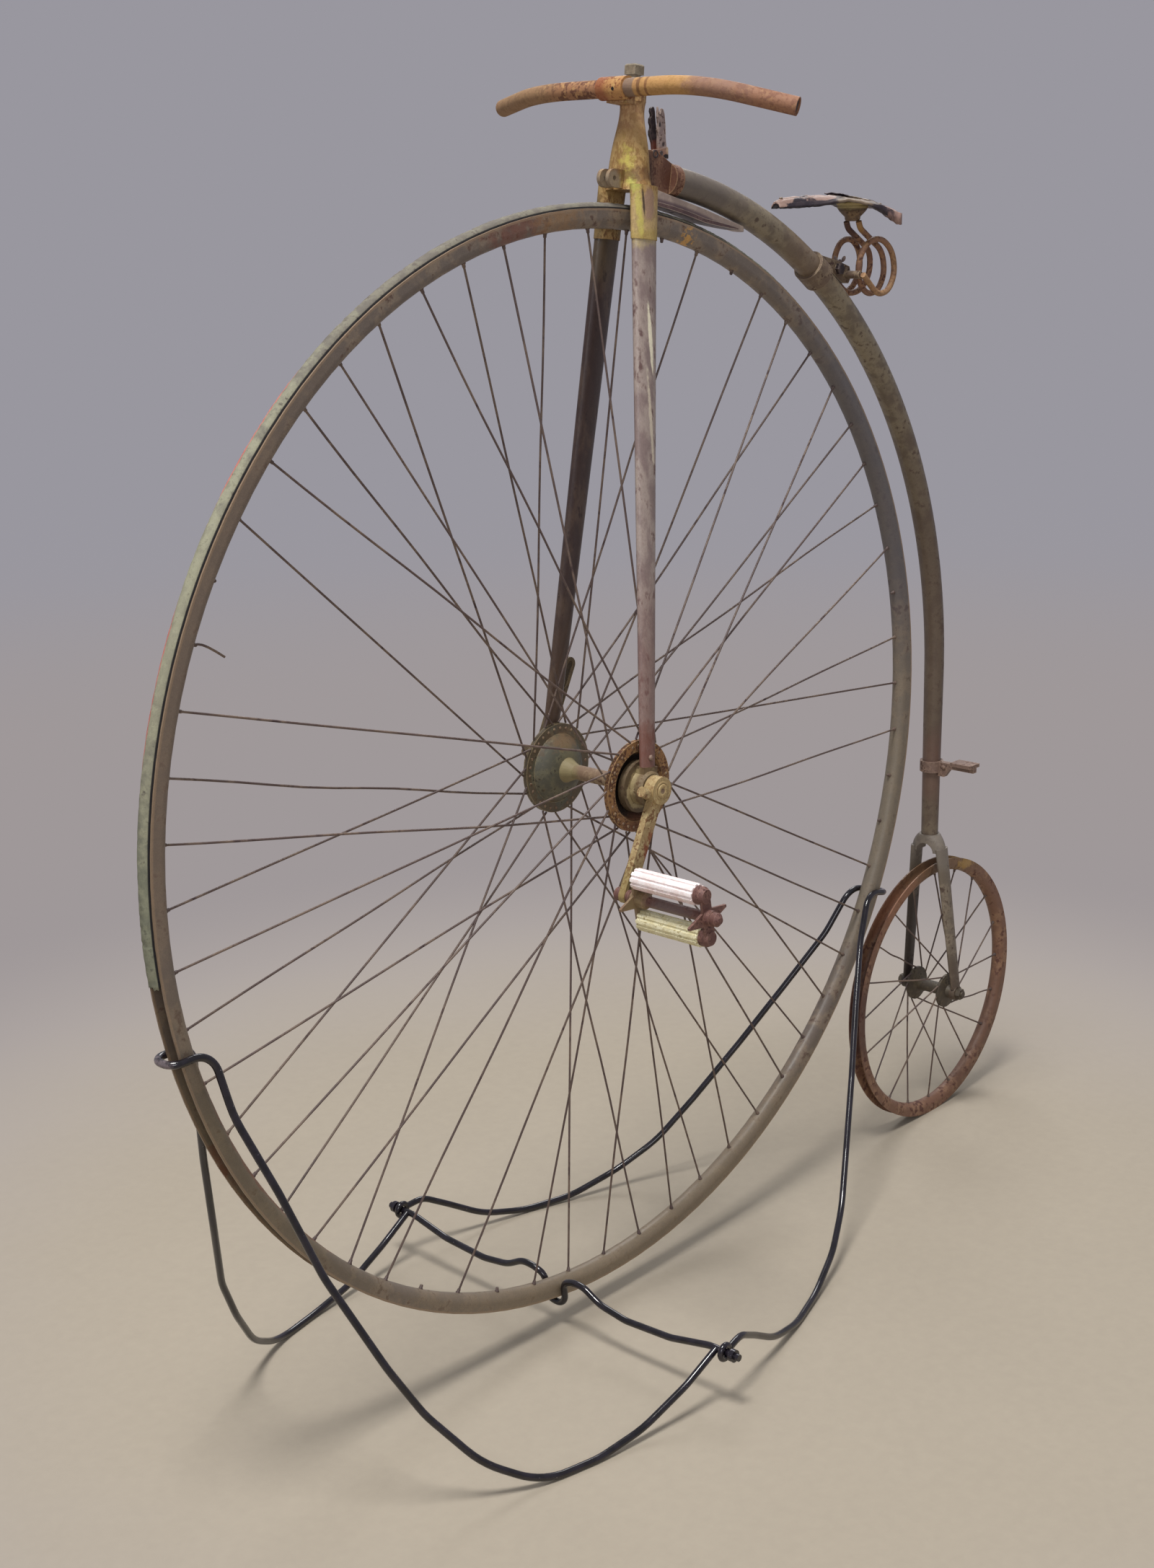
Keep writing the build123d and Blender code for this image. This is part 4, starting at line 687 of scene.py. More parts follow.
REAR_RIM = Finish(
    "rear_rim_rust", (120, 86, 68), (142, 108, 84), (88, 56, 48), (66, 42, 38), 0.45, 0.42, 0.08,
    scale=40.0, rough=0.5, relief=0.0005, marks=(
        Mark((-0.600, 0.0, 0.390), (0.12, 0.05, 0.04), (112, 88, 62), 0.6, 0.5, 0.5, 30.0),
        Mark((-0.668, 0.0, 0.379), (0.016, 0.05, 0.010), (178, 144, 86), 0.7, 0.9, 0.4, 90.0),
        Mark((-0.41, 0.0, 0.205), (0.05, 0.05, 0.06), (76, 46, 42), 0.75, 0.5, 0.5, 40.0),
        Mark((-0.50, 0.0, 0.345), (0.05, 0.05, 0.05), (146, 100, 74), 0.6, 0.6, 0.5, 40.0),
        Mark((-0.72, 0.0, 0.12), (0.06, 0.05, 0.09), (100, 74, 60), 0.6, 0.5, 0.5, 40.0)))
REAR_OLIVE = Finish(
    "rear_hub_olive", (72, 63, 53), (90, 80, 64), (52, 42, 36), (110, 94, 70), 0.42, 0.36, 0.04,
    scale=75.0, rough=0.55, relief=0.0005)
PEDAL_IRON = Finish(
    "pedal_iron", (106, 72, 66), (130, 94, 84), (78, 48, 46), (160, 128, 114), 0.42, 0.4, 0.06,
    scale=100.0, rough=0.5, metallic=0.1, relief=0.0006, edge=0.4, edge_colour=(156, 122, 108), marks=(
        Mark((PEDAL.x, 0.165, PEDAL.z), (0.012, 0.032, 0.012), (116, 100, 98), 0.8, 0.3, 0.3, 60.0),
        Mark((PEDAL.x, 0.118, PEDAL.z), (0.04, 0.012, 0.03), (140, 122, 88), 0.8, 0.4, 0.4, 60.0)))
PEDAL_PINK = Finish(
    "pedal_pink_rubber", (242, 226, 224), (250, 240, 240), (224, 190, 184), (196, 152, 144), 0.5,
    0.26, 0.04, scale=90.0, rough=0.75, relief=0.0003, marks=(
        Mark((0.2026, 0.16, 0.5855), (0.03, 0.06, 0.007), (222, 186, 178), 0.6, 0.9, 0.6, 110.0),))
PEDAL_CREAM = Finish(
    "pedal_cream_rubber", (218, 208, 168), (234, 228, 196), (176, 160, 112), (140, 122, 80), 0.5,
    0.38, 0.05, scale=90.0, rough=0.75, relief=0.0003)
STAND_BLACK = Finish(
    "stand_black", (19, 16, 21), (30, 26, 34), (92, 82, 86), (150, 140, 146), 0.5, 0.14, 0.09,
    scale=50.0, rough=0.18, stain_rough=0.35, relief=0.0001, coat=0.3, marks=(
        Mark((0.800, 0.0, 0.533), (0.012, 0.03, 0.012), (136, 122, 126), 0.6, 0.9, 0.5, 110.0),
        Mark((-0.455, 0.0, 0.398), (0.012, 0.03, 0.012), (130, 118, 124), 0.6, 0.9, 0.5, 110.0)))

NODE_FINISH = {
    FORK_OCHRE: ("fork_head",),
    LUG_OCHRE: ("handlebar_lug",),
    BOLT_OLIVE: ("head_bolt",),
    BAR_RUST: ("handlebar",),
    LEG_NEAR: ("fork_leg_left",),
    LEG_FAR_SHADED: ("fork_leg_right",),
    HOUSING_OLIVE: ("bearing_housing_left",),
    CRANK_OCHRE: ("crank_left",),
    CRANK_DARK: ("crank_right", "bearing_housing_right"),
    AXLE_TAN: ("front_axle",),
    HUB_OLIVE: ("hub_flange_right",),
    HUB_ORANGE: ("hub_flange_left",),
    RIM_STEEL: ("front_rim",),
    SPOKE_STEEL: ("front_spokes_left", "front_spokes_right", "rear_spokes"),
    BACKBONE_ENAMEL: ("backbone",),
    FORK_REAR: ("rear_fork",),
    TROUGH_PINK: ("blade_trough",),
    NECK_BROWN: ("neck",),
    SPRING_RUST: ("saddle_spring",),
    CLAMP_BROWN: ("saddle_clamp",),
    STEP_BROWN: ("step",),
    REAR_RIM: ("rear_rim",),
    REAR_OLIVE: ("rear_hub", "rear_axle"),
    PEDAL_IRON: ("pedal_frame", "pedal_spindle"),
    PEDAL_PINK: ("pedal_block_upper",),
    PEDAL_CREAM: ("pedal_block_lower",),
    STAND_BLACK: ("stand_front_loop", "stand_cross_rod", "stand_rear_loop"),
}


class Paintwork:
    """Builds every finish once and hands it out by its name."""

    def __init__(self) -> None:
        """Builds the shared groups."""
        build_patina()
        build_edge_wear()
        build_streaks()
        build_mark()
        self.made: dict[str, bpy.types.Material] = {}

    def get(self, finish: Finish) -> bpy.types.Material:
        """Gives the finish's material, built on its first use.

        Args:
            finish: The finish.

        Returns:
            Its material.
        """
        if finish.name not in self.made:
            self.made[finish.name] = finish.build()
        return self.made[finish.name]

    def dress_nodes(self) -> None:
        """Gives every node of the frame its finish."""
        for finish, names in NODE_FINISH.items():
            for name in names:
                mesh = frame["nodes"][name].data
                mesh.materials.clear()
                mesh.materials.append(self.get(finish))
                for polygon in mesh.polygons:
                    polygon.material_index = 0
                log.info("dressed %s in %s", name, finish.name)


# Meshes

def link(name: str, mesh: bpy.types.Mesh) -> bpy.types.Object:
    """Makes an object of a mesh and links it to the scene.

    Args:
        name: The object's name.
        mesh: Its mesh.

    Returns:
        The object.
    """
    made = bpy.data.objects.new(name, mesh)
    bpy.context.scene.collection.objects.link(made)
    return made


def to_object(name: str, build: bmesh.types.BMesh, smooth: bool = True, closed: bool = True) -> bpy.types.Object:
    """Turns an edit mesh into an object, with a closed one's faces outwards.

    Args:
        name: The object's name.
        build: The edit mesh, which is freed.
        smooth: Whether its faces are smooth.
        closed: Whether it is a closed solid.

    Returns:
        The object.
    """
    if closed:
        bmesh.ops.recalc_face_normals(build, faces=build.faces)
    mesh = bpy.data.meshes.new(name)
    build.to_mesh(mesh)
    build.free()
    for polygon in mesh.polygons:
        polygon.use_smooth = smooth
    return link(name, mesh)


def ring_faces(build: bmesh.types.BMesh, rings: Sequence[Sequence[bmesh.types.BMVert]]) -> None:
    """Joins closed rings of vertices one to the next, and closes both ends.

    Args:
        build: The edit mesh that the rings are in.
        rings: The rings in order, all with the same number of corners.
    """
    count = len(rings[0])
    for first, second in zip(rings, rings[1:]):
        for k in range(count):
            after = (k + 1) % count
            build.faces.new((first[k], first[after], second[after], second[k]))
    build.faces.new(list(reversed(rings[0])))
    build.faces.new(rings[-1])


def circle(count: int) -> list[float]:
    """The angles of a full turn in even steps."""
    return [2 * math.pi * step / count for step in range(count)]


def turned_rings(build: bmesh.types.BMesh, profile: Profile, sides: int,
                 foot: Vector) -> list[list[bmesh.types.BMVert]]:
    """Makes the rings of a shape turned about an upright axis.

    Args:
        build: The edit mesh they go in.
        profile: The (radius, height) corners, in millimetres.
        sides: How many corners a ring has.
        foot: Where the profile's height is 0.

    Returns:
        The rings, from the first corner to the last.
    """
    return [[build.verts.new((foot.x + radius * MM * math.cos(angle), foot.y + radius * MM * math.sin(angle),
                              foot.z + height * MM)) for angle in circle(sides)] for radius, height in profile]


def turned_unit(name: str, profile: Profile, sides: int) -> bpy.types.Object:
    """Turns a closed solid about Z from (radius, height) corners, in millimetres.

    Args:
        name: The object's name.
        profile: The corners from low to high, none on the axis.
        sides: How many sides the turn has, NUT_SIDES for a nut.

    Returns:
        The solid.
    """
    build = bmesh.new()
    ring_faces(build, turned_rings(build, profile, sides, Vector()))
    return to_object(name, build, smooth=sides > NUT_SIDES)


def prism(name: str, outline: Profile, low: float, high: float, bevel: float) -> bpy.types.Object:
    """Makes a plate with softened edges between two distances to the left, in millimetres.

    Args:
        name: The object's name.
        outline: Its corners, (ahead, up).
        low: The distance of its right side.
        high: The distance of its left side.
        bevel: How wide its edges are softened.

    Returns:
        The plate.
    """
    build = bmesh.new()
    sides = [[build.verts.new((x * MM, y * MM, z * MM)) for x, z in outline] for y in (low, high)]
    ring_faces(build, sides)
    bmesh.ops.bevel(build, geom=build.edges[:], offset=bevel * MM, segments=2, profile=0.6, affect="EDGES",
                    clamp_overlap=True)
    return to_object(name, build, smooth=False)


def turned_sheet(name: str, profile: Profile, count: int) -> bpy.types.Object:
    """Turns a profile of (radius, height) corners round Z as an open sheet.

    Args:
        name: The object's name.
        profile: The corners in metres, from the middle out.
        count: How many steps the turn has.

    Returns:
        The sheet, linked to the scene.
    """
    build = bmesh.new()
    rings = []
    for radius, height in profile:
        if radius == 0.0:
            rings.append([build.verts.new((0.0, 0.0, height))])
            continue
        rings.append([build.verts.new((radius * math.cos(angle), radius * math.sin(angle), height))
                      for angle in circle(count)])
    for inner, outer in zip(rings, rings[1:]):
        for k in range(count):
            after = (k + 1) % count
            if len(inner) == 1:
                build.faces.new((inner[0], outer[k], outer[after]))
            else:
                build.faces.new((inner[k], outer[k], outer[after], inner[after]))
    return to_object(name, build, closed=False)


def bore_places(mouth: float = 0.009, straight: float = 0.06, sunk: float = 0.0022) -> Iterable[Place]:
    """Finds the bar's two open ends and gives a place just inside each, where a dark disc of painted shade goes.

    Args:
        mouth: How much of the bar's reach counts as its end.
        straight: How much of it gives the way the end points.
        sunk: How far inside the mouth the place is.

    Yields:
        Each place, with the way out of the bar and a size of 1.
    """
    corners = [vertex.co for vertex in frame["nodes"]["handlebar"].data.vertices]
    for side in (1.0, -1.0):
        reach = max(corner.y * side for corner in corners)
        tip = [corner for corner in corners if corner.y * side > reach - mouth]
        deep = [corner for corner in corners if mouth < reach - corner.y * side < straight] or tip
        middle = sum(tip, Vector()) / len(tip)
        away = (middle - sum(deep, Vector()) / len(deep)).normalized()
        yield middle - away * sunk, away, 1.0


def wave(*terms: float) -> float:
    """A rough but repeatable value between about -1 and 1 for a place along an edge."""
    total = sum(math.sin(value * (2.3 + 1.7 * rank) + 1.1 * rank) for rank, value in enumerate(terms))
    return total / len(terms)


class NodeTool:
    """A Geometry Nodes tree with named inputs, whose result is baked into a plain mesh."""

    def __init__(self, name: str, inputs: Sequence[tuple[str, str, object]]) -> None:
        """Makes the tree with its geometry and material sockets.

        Args:
            name: The tree's name.
            inputs: The other inputs, each with its name, socket type and default.
        """
        self.name = name
        self.tree, self.given, self.out = new_group(
            name, "GeometryNodeTree",
            (("Geometry", "NodeSocketGeometry", None), *inputs, ("Material", "NodeSocketMaterial", None)),
            (("Geometry", "NodeSocketGeometry"),))

    def close(self, geometry: bpy.types.NodeSocket) -> None:
        """Ends the tree: the copies are made real and take the material.

        Args:
            geometry: The socket that the result is at.
        """
        real = self.tree.add("GeometryNodeRealizeInstances", None, Geometry=geometry)
        dressed = self.tree.add("GeometryNodeSetMaterial", None, Geometry=real.outputs[0],
                                Material=self.given.outputs["Material"])
        self.tree.feed(self.out, "Geometry", dressed.outputs[0])

    def run(self, name: str, carrier: bpy.types.Object, **values: object) -> bpy.types.Object:
        """Runs the tree on an object, which is replaced by the baked result.

        Args:
            name: The result's name.
            carrier: The object that the tree starts from.
            **values: The inputs' values, by name.

        Returns:
            The result, a plain mesh.
        """
        modifier = carrier.modifiers.new(self.name, "NODES")
        modifier.node_group = self.tree.tree
        for item in self.tree.tree.interface.items_tree:
            if item.item_type == "SOCKET" and item.in_out == "INPUT" and item.name in values:
                modifier[item.identifier] = values[item.name]
        bpy.context.view_layer.update()
        graph = bpy.context.evaluated_depsgraph_get()
        mesh = bpy.data.meshes.new_from_object(carrier.evaluated_get(graph))
        mesh.name = name
        bpy.data.objects.remove(carrier)
        log.info("baked %s, %d faces", name, len(mesh.polygons))
        return link(name, mesh)


class Repeater(NodeTool):
    """Places copies of a small shape, each with its own way and size."""

    def __init__(self) -> None:
        """Builds the tree that the copies come from."""
        super().__init__("repeat_on_places", (
            ("Unit", "NodeSocketObject", None), ("Spin", "NodeSocketFloat", 0.0), ("Seed", "NodeSocketInt", 3)))
        tree, given = self.tree, self.given
        axis = tree.add("GeometryNodeInputNamedAttribute", {"data_type": "FLOAT_VECTOR"}, Name="axis")
        size = tree.add("GeometryNodeInputNamedAttribute", {"data_type": "FLOAT"}, Name="size")
        unit = tree.add("GeometryNodeObjectInfo", None, Object=given.outputs["Unit"])
        turn = tree.add("FunctionNodeAlignRotationToVector", {"axis": "Z"}, Vector=axis.outputs["Attribute"])
        spin = tree.add("FunctionNodeRandomValue", {"data_type": "FLOAT"}, Seed=given.outputs["Seed"])
        spin_out = next(socket for socket in spin.outputs if socket.type == "VALUE" and socket.enabled)
        angle = tree.math("MULTIPLY", spin_out, given.outputs["Spin"])
        about = tree.add("FunctionNodeAxisAngleToRotation", None, Axis=(0.0, 0.0, 1.0), Angle=angle)
        turned = tree.add("FunctionNodeRotateRotation", {"rotation_space": "LOCAL"}, Rotation=turn.outputs[0])
        tree.feed(turned, "Rotate By", about.outputs[0])
        placed = tree.add("GeometryNodeInstanceOnPoints", None, Points=given.outputs["Geometry"],
                          Instance=unit.outputs["Geometry"], Rotation=turned.outputs[0],
                          Scale=size.outputs["Attribute"])
        self.close(placed.outputs[0])

    def place(self, name: str, unit: bpy.types.Object, places: Sequence[Place],
              material: bpy.types.Material, spin: float = math.tau) -> bpy.types.Object:
        """Places the copies and bakes them.

        Args:
            name: The new piece's name.
            unit: The small shape, drawn along Z, which is removed afterwards.
            places: Each copy's foot, the way it points, and its size.
            material: The finish.
            spin: How far a copy may be turned about its own axis, at random.

        Returns:
            The baked piece.
        """
        mesh = bpy.data.meshes.new(name + "_places")
        mesh.from_pydata([tuple(foot) for foot, _, _ in places], [], [])
        for key, kind in (("axis", "FLOAT_VECTOR"), ("size", "FLOAT")):
            mesh.attributes.new(key, kind, "POINT")
        for rank, (_, way, size) in enumerate(places):
            mesh.attributes["axis"].data[rank].vector = way
            mesh.attributes["size"].data[rank].value = size
        made = self.run(name, link(name + "_places", mesh), Unit=unit, Spin=spin, Material=material)
        bpy.data.objects.remove(unit)
        return made


class Weathering(NodeTool):
    """Roughens a mesh: each point moves along its normal by a fixed noise."""

    def __init__(self) -> None:
        """Builds the tree."""
        super().__init__("weather_surface", (
            ("Depth", "NodeSocketFloat", 0.001), ("Grain", "NodeSocketFloat", 60.0),
            ("Dents", "NodeSocketFloat", 14.0)))
        tree, given = self.tree, self.given
        spot = tree.add("GeometryNodeInputPosition").outputs[0]
        normal = tree.add("GeometryNodeInputNormal").outputs[0]
        fine = tree.noise(spot, given.outputs["Grain"], 4.0, 0.6)
        broad = tree.noise(spot, given.outputs["Dents"], 2.0, 0.5)
        both = tree.math("ADD", tree.math("MULTIPLY", fine, 0.5), broad)
        swing = tree.math("MULTIPLY", tree.math("SUBTRACT", both, 0.75), given.outputs["Depth"])
        push = tree.add("ShaderNodeVectorMath", {"operation": "SCALE"})
        tree.feed(push, 0, normal)
        tree.feed(push, "Scale", swing)
        moved = tree.add("GeometryNodeSetPosition", None, Geometry=given.outputs["Geometry"],
                         Offset=push.outputs["Vector"])
        self.close(moved.outputs[0])

    def apply(self, plain: bpy.types.Object, material: bpy.types.Material, depth: float,
              grain: float, dents: float) -> bpy.types.Object:
        """Roughens one object and bakes it.

        Args:
            plain: The object, which is replaced.
            material: The finish.
            depth: How far the points move, in metres.
            grain: The scale of the fine noise.
            dents: The scale of the broad noise.

        Returns:
            The baked piece, under the object's name.
        """
        name = plain.name
        plain.name = name + "_plain"
        return self.run(name, plain, Depth=depth, Grain=grain, Dents=dents, Material=material)


class WireDrawer(NodeTool):
    """Draws round wire along bent lines."""

    def __init__(self) -> None:
        """Builds the tree."""
        super().__init__("wire_on_lines", (
            ("Radius", "NodeSocketFloat", 0.001), ("Sides", "NodeSocketInt", 8)))
        tree, given = self.tree, self.given
        line = tree.add("GeometryNodeMeshToCurve")
        tree.feed(line, 0, given.outputs["Geometry"])
        ring = tree.add("GeometryNodeCurvePrimitiveCircle", {"mode": "RADIUS"}, Resolution=given.outputs["Sides"],
                        Radius=given.outputs["Radius"])
        drawn = tree.add("GeometryNodeCurveToMesh", None, Curve=line.outputs[0],
                         Profile_Curve=ring.outputs["Curve"], Fill_Caps=True)
        self.close(drawn.outputs[0])

    def draw(self, name: str, lines: Sequence[Sequence[Vector]], radius: float,
             material: bpy.types.Material) -> bpy.types.Object:
        """Draws the wires and bakes them.

        Args:
            name: The new piece's name.
            lines: Each wire's points.
            radius: The wire's radius, in metres.
            material: The finish.

        Returns:
            The baked piece.
        """
        points, edges = [], []
        for line in lines:
            edges += [(len(points) + k, len(points) + k + 1) for k in range(len(line) - 1)]
            points += [tuple(point) for point in line]
        mesh = bpy.data.meshes.new(name + "_lines")
        mesh.from_pydata(points, edges, [])
        made = self.run(name, link(name + "_lines", mesh), Radius=radius, Material=material)
        for polygon in made.data.polygons:
            polygon.use_smooth = len(polygon.vertices) == 4
        return made


@dataclass
class Workshop:
    """What every sub-assembly is made with: the finishes and the three Geometry Nodes tools."""

    paint: Paintwork
    repeat: Repeater
    weather: Weathering
    wires: WireDrawer

    def hand_over(self, piece: bpy.types.Object, body: str, finish: Optional[Finish] = None,
                  replaces: Sequence[str] = ()) -> None:
        """Rides a finished piece on its body, and hides the nodes that it stands for.

        Args:
            piece: The finished piece.
            body: The body it rides on.
            finish: Its finish, where it has none yet.
            replaces: The nodes that it stands for.
        """
        if finish:
            piece.data.materials.clear()
            piece.data.materials.append(self.paint.get(finish))
        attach(piece, body)
        if replaces:
            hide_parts(*replaces)
        log.info("made %s on %s", piece.name, body)


# Sub-assemblies

@dataclass
class WireWheel:
    """The wires of a laced wheel, with the nipples in its rim and the spoke heads in its flanges.

    Sizes are in metres and profiles in millimetres. Angles go from forward and up over the top.

    Attributes:
        name: The name that its pieces start with, and its body's name.
        centre: The hub's middle.
        rim: The radius at which the wires end.
        flange: The radius at which they start.
        flange_out: How far out the flanges are.
        head_circle: The radius of the spoke heads' circle.
        head_faces: How far out the two faces of a flange are.
        lean: How far round a wire's foot is from its end, in degrees.
        weave: How far the wires stand off each other where they cross.
        count: How many spokes the wheel was laced with.
        alternate: Whether every other pair leans back.
        wire: The wire's radius.
        stands_for: The nodes that the wires replace.
        nipple: The size of the nipples and heads.
        missing: The spokes that are lost.
        broken: The spokes of which only a stub is left.
        bent: How far the wires are off straight.
        bends: How many steps a wire's line has.
        hub_end: How far a wire starts out of its flange.
        rim_end: How far it stops short of its nipple's foot.
        stub: A broken spoke's line from the rim, in millimetres.
        nipple_profile: A nipple's radii and heights.
        head_profile: A spoke head's radii and heights.
        sides: How many sides both have.
    """

    name: str
    centre: Vector
    rim: float
    flange: float
    flange_out: float
    head_circle: float
    head_faces: tuple[float, float]
    lean: float
    weave: float
    count: int
    alternate: bool
    wire: float
    stands_for: tuple[str, ...]
    nipple: float = 1.0
    missing: tuple[int, ...] = ()
    broken: tuple[int, ...] = ()
    bent: float = 0.0022
    bends: int = 12
    hub_end: float = 0.0012
    rim_end: float = 0.0002
    stub: Sequence[Triple] = (
        (0.0, 0.0, 0.0), (-6.0, -0.5, -0.8), (-12.0, -1.0, -2.6), (-20.0, -2.0, -6.6), (-30.0, -3.0, -12.8),
        (-40.0, -4.0, -19.6))
    nipple_profile: Profile = ((2.7, -0.8), (2.7, 0.5), (2.1, 1.2), (1.9, 4.2), (1.35, 5.0))
    head_profile: Profile = ((1.9, -0.5), (1.9, 0.25), (1.5, 0.6), (0.7, 0.8))
    sides: int = 10

    def on_wheel(self, radius: float, degrees: float, out: float) -> Vector:
        """A point of the wheel at a radius, an angle and a distance to the left."""
        angle = math.radians(degrees)
        return self.centre + Vector((radius * math.cos(angle), out, radius * math.sin(angle)))

    def spokes(self) -> Iterable[tuple[int, float, float, int]]:
        """Gives every spoke as the wheel is laced.

        Yields:
            A spoke's number, its angle at the rim and its lean in degrees, and its side, 1 for left.
        """
        for place in range(self.count):
            side = 1 if place % 2 else -1
            lean = self.lean
            if self.alternate:
                forward = (place // 2) % 2 == (1 if side > 0 else 0)
                lean = self.lean if forward else -self.lean
            yield place, place * 360 / self.count, lean, side

    def ends(self, degrees: float, lean: float, side: int) -> tuple[Vector, Vector]:
        """Finds a spoke's two ends.

        Args:
            degrees: Its angle at the rim.
            lean: How much further round it starts.
            side: 1 for left, -1 for right.

        Returns:
            The end at the rim and the one at the flange.
        """
        shift = math.copysign(self.weave, lean)
        return (self.on_wheel(self.rim, degrees, shift),
                self.on_wheel(self.flange, degrees + lean, side * self.flange_out + shift))

    def wires(self) -> list[list[Vector]]:
        """Draws the spokes' lines.

        Returns:
            Each wire's points, nearly straight as old wire is, and only a bent stub for a broken one.
        """
        draw = random.Random(7)
        lines = []
        for place, degrees, lean, side in self.spokes():
            rim, hub = self.ends(degrees, lean, side)
            # How far it bows in the wheel's plane and out of it, and where its second bend is
            plane, out, second = draw.uniform(-1.0, 1.0), draw.uniform(-0.4, 0.4), draw.uniform(0.25, 0.75)
            if place in self.missing:
                continue
            if place in self.broken:
                lines.append([rim + Vector(corner) * MM for corner in self.stub])
                continue
            away = (rim - hub).normalized()
            across = away.cross(LEFT).normalized()
            line = []
            for step in range(self.bends + 1):
                share = step / self.bends
                bow = math.sin(math.pi * share) * (1 + 0.8 * math.sin(math.pi * share / second))
                line.append(hub.lerp(rim, share) + (across * plane + LEFT * out) * self.bent * bow)
            line[0] += away * self.hub_end
            line[-1] -= away * self.rim_end
            lines.append(line)
        return lines

    def nipples(self) -> list[Place]:
        """Finds the nipples' places.

        Returns:
            A place for each spoke, pointing along it.
        """
        places = []
        for _, degrees, lean, side in self.spokes():
            foot, hub = self.ends(degrees, lean, side)
            places.append((foot, (hub - foot).normalized(), self.nipple))
        return places

    def heads(self) -> list[Place]:
        """Finds the spoke heads' places.

        Returns:
            A place on each face of the flange for each spoke that is left.
        """
        places = []
        for place, degrees, lean, side in self.spokes():
            if place in self.missing:
                continue
            for face in self.head_faces:
                foot = self.on_wheel(self.head_circle, degrees + lean, side * face)
                places.append((foot, LEFT if (face > self.flange_out) == (side > 0) else -LEFT, self.nipple))
        return places

    def build(self, shop: Workshop, finish: Finish, head_finish: Finish, slot: str) -> None:
        """Builds the wires, the nipples and the heads.

        Args:
            shop: The finishes and tools.
            finish: The wires' and nipples' finish.
            head_finish: The heads' finish.
            slot: The record's material slot; not used.
        """
        made = shop.wires.draw(self.name + "_wires", self.wires(), self.wire, shop.paint.get(finish))
        shop.hand_over(made, self.name, replaces=self.stands_for)
        for kind, profile, places, paint in (("_nipples", self.nipple_profile, self.nipples(), finish),
                                             ("_spoke_heads", self.head_profile, self.heads(), head_finish)):
            unit = turned_unit(self.name + kind + "_unit", profile, self.sides)
            made = shop.repeat.place(self.name + kind, unit, places, shop.paint.get(paint))
            shop.hand_over(made, self.name)


@dataclass
class Tyre:
    """What is left of the solid tyre: a cracked, uneven ring with two torn ends.

    Lengths are in metres. Angles go from forward and up over the top.

    Attributes:
        crown: The tread's radius.
        seat: The radius of its foot in the rim.
        shoulder: How high its straight sides start above the foot.
        half: Half its width.
        first_deg: Where its front end is torn off.
        last_deg: Where its rear end is torn off.
        torn_deg: How ragged both ends are.
        steps: How many steps it has along the rim.
        round_points: How many steps its crown has across.
        crack_chance: The share of the steps that are cracked.
        crack_depth: The deepest crack.
        dip: How deep the tread is worn in places.
        dip_waves: How often it is worn along the rim, in two rhythms.
        weather: The depth, grain and dents of its roughness.
    """

    crown: float = 0.6575
    seat: float = 0.6400
    shoulder: float = 0.003
    half: float = 0.0087
    first_deg: float = -6.5
    last_deg: float = 161.0
    torn_deg: float = 0.25
    steps: int = 620
    round_points: int = 12
    crack_chance: float = 0.05
    crack_depth: float = 0.0011
    dip: float = 0.0009
    dip_waves: tuple[float, float] = (190.0, 77.0)
    weather: Triple = (0.0006, 260.0, 40.0)

    def section(self) -> list[tuple[float, float]]:
        """Draws the section.

        Returns:
            Its corners: radius from the hub, distance to the left.
        """
        low, side = self.seat, self.seat + self.shoulder
        high = self.crown - self.half
        corners = [(low, -0.7 * self.half), (low, 0.7 * self.half), (side, self.half)]
        for point in range(self.round_points + 1):
            angle = math.pi * point / self.round_points
            corners.append((high + self.half * math.sin(angle), self.half * math.cos(angle)))
        corners.append((side, -self.half))
        return corners

    def build(self, shop: Workshop) -> None:
        """Builds the tyre in place of its plain ring.

        Args:
            shop: The finishes and tools.
        """
        draw = random.Random(11)
        build = bmesh.new()
        rings = []
        corners = self.section()
        for step in range(self.steps + 1):
            share = step / self.steps
            crack = self.crack_depth * draw.random() if draw.random() < self.crack_chance else 0.0
            ring = []
            for rank, (radius, out) in enumerate(corners):
                torn = 0.0
                if step in (0, self.steps):
                    torn = self.torn_deg * wave(rank * 1.3, rank * 2.9) * (1 if step else -1)
                degrees = self.first_deg + share * (self.last_deg - self.first_deg) + torn
                proud = max(0.0, radius - RIM_OUTER) / (self.crown - RIM_OUTER)
                radius -= crack * proud
                quick, slow = (share * rate for rate in self.dip_waves)
                radius -= self.dip * proud * abs(wave(quick, slow + rank * 0.4))
                angle = math.radians(degrees)
                ring.append(build.verts.new((HUB.x + radius * math.cos(angle), out,
                                             HUB.z + radius * math.sin(angle))))
            rings.append(ring)
        ring_faces(build, rings)
        made = shop.weather.apply(to_object("tyre_ring", build), shop.paint.get(TYRE_RUBBER), *self.weather)
        shop.hand_over(made, "front_wheel", replaces=("front_tyre",))


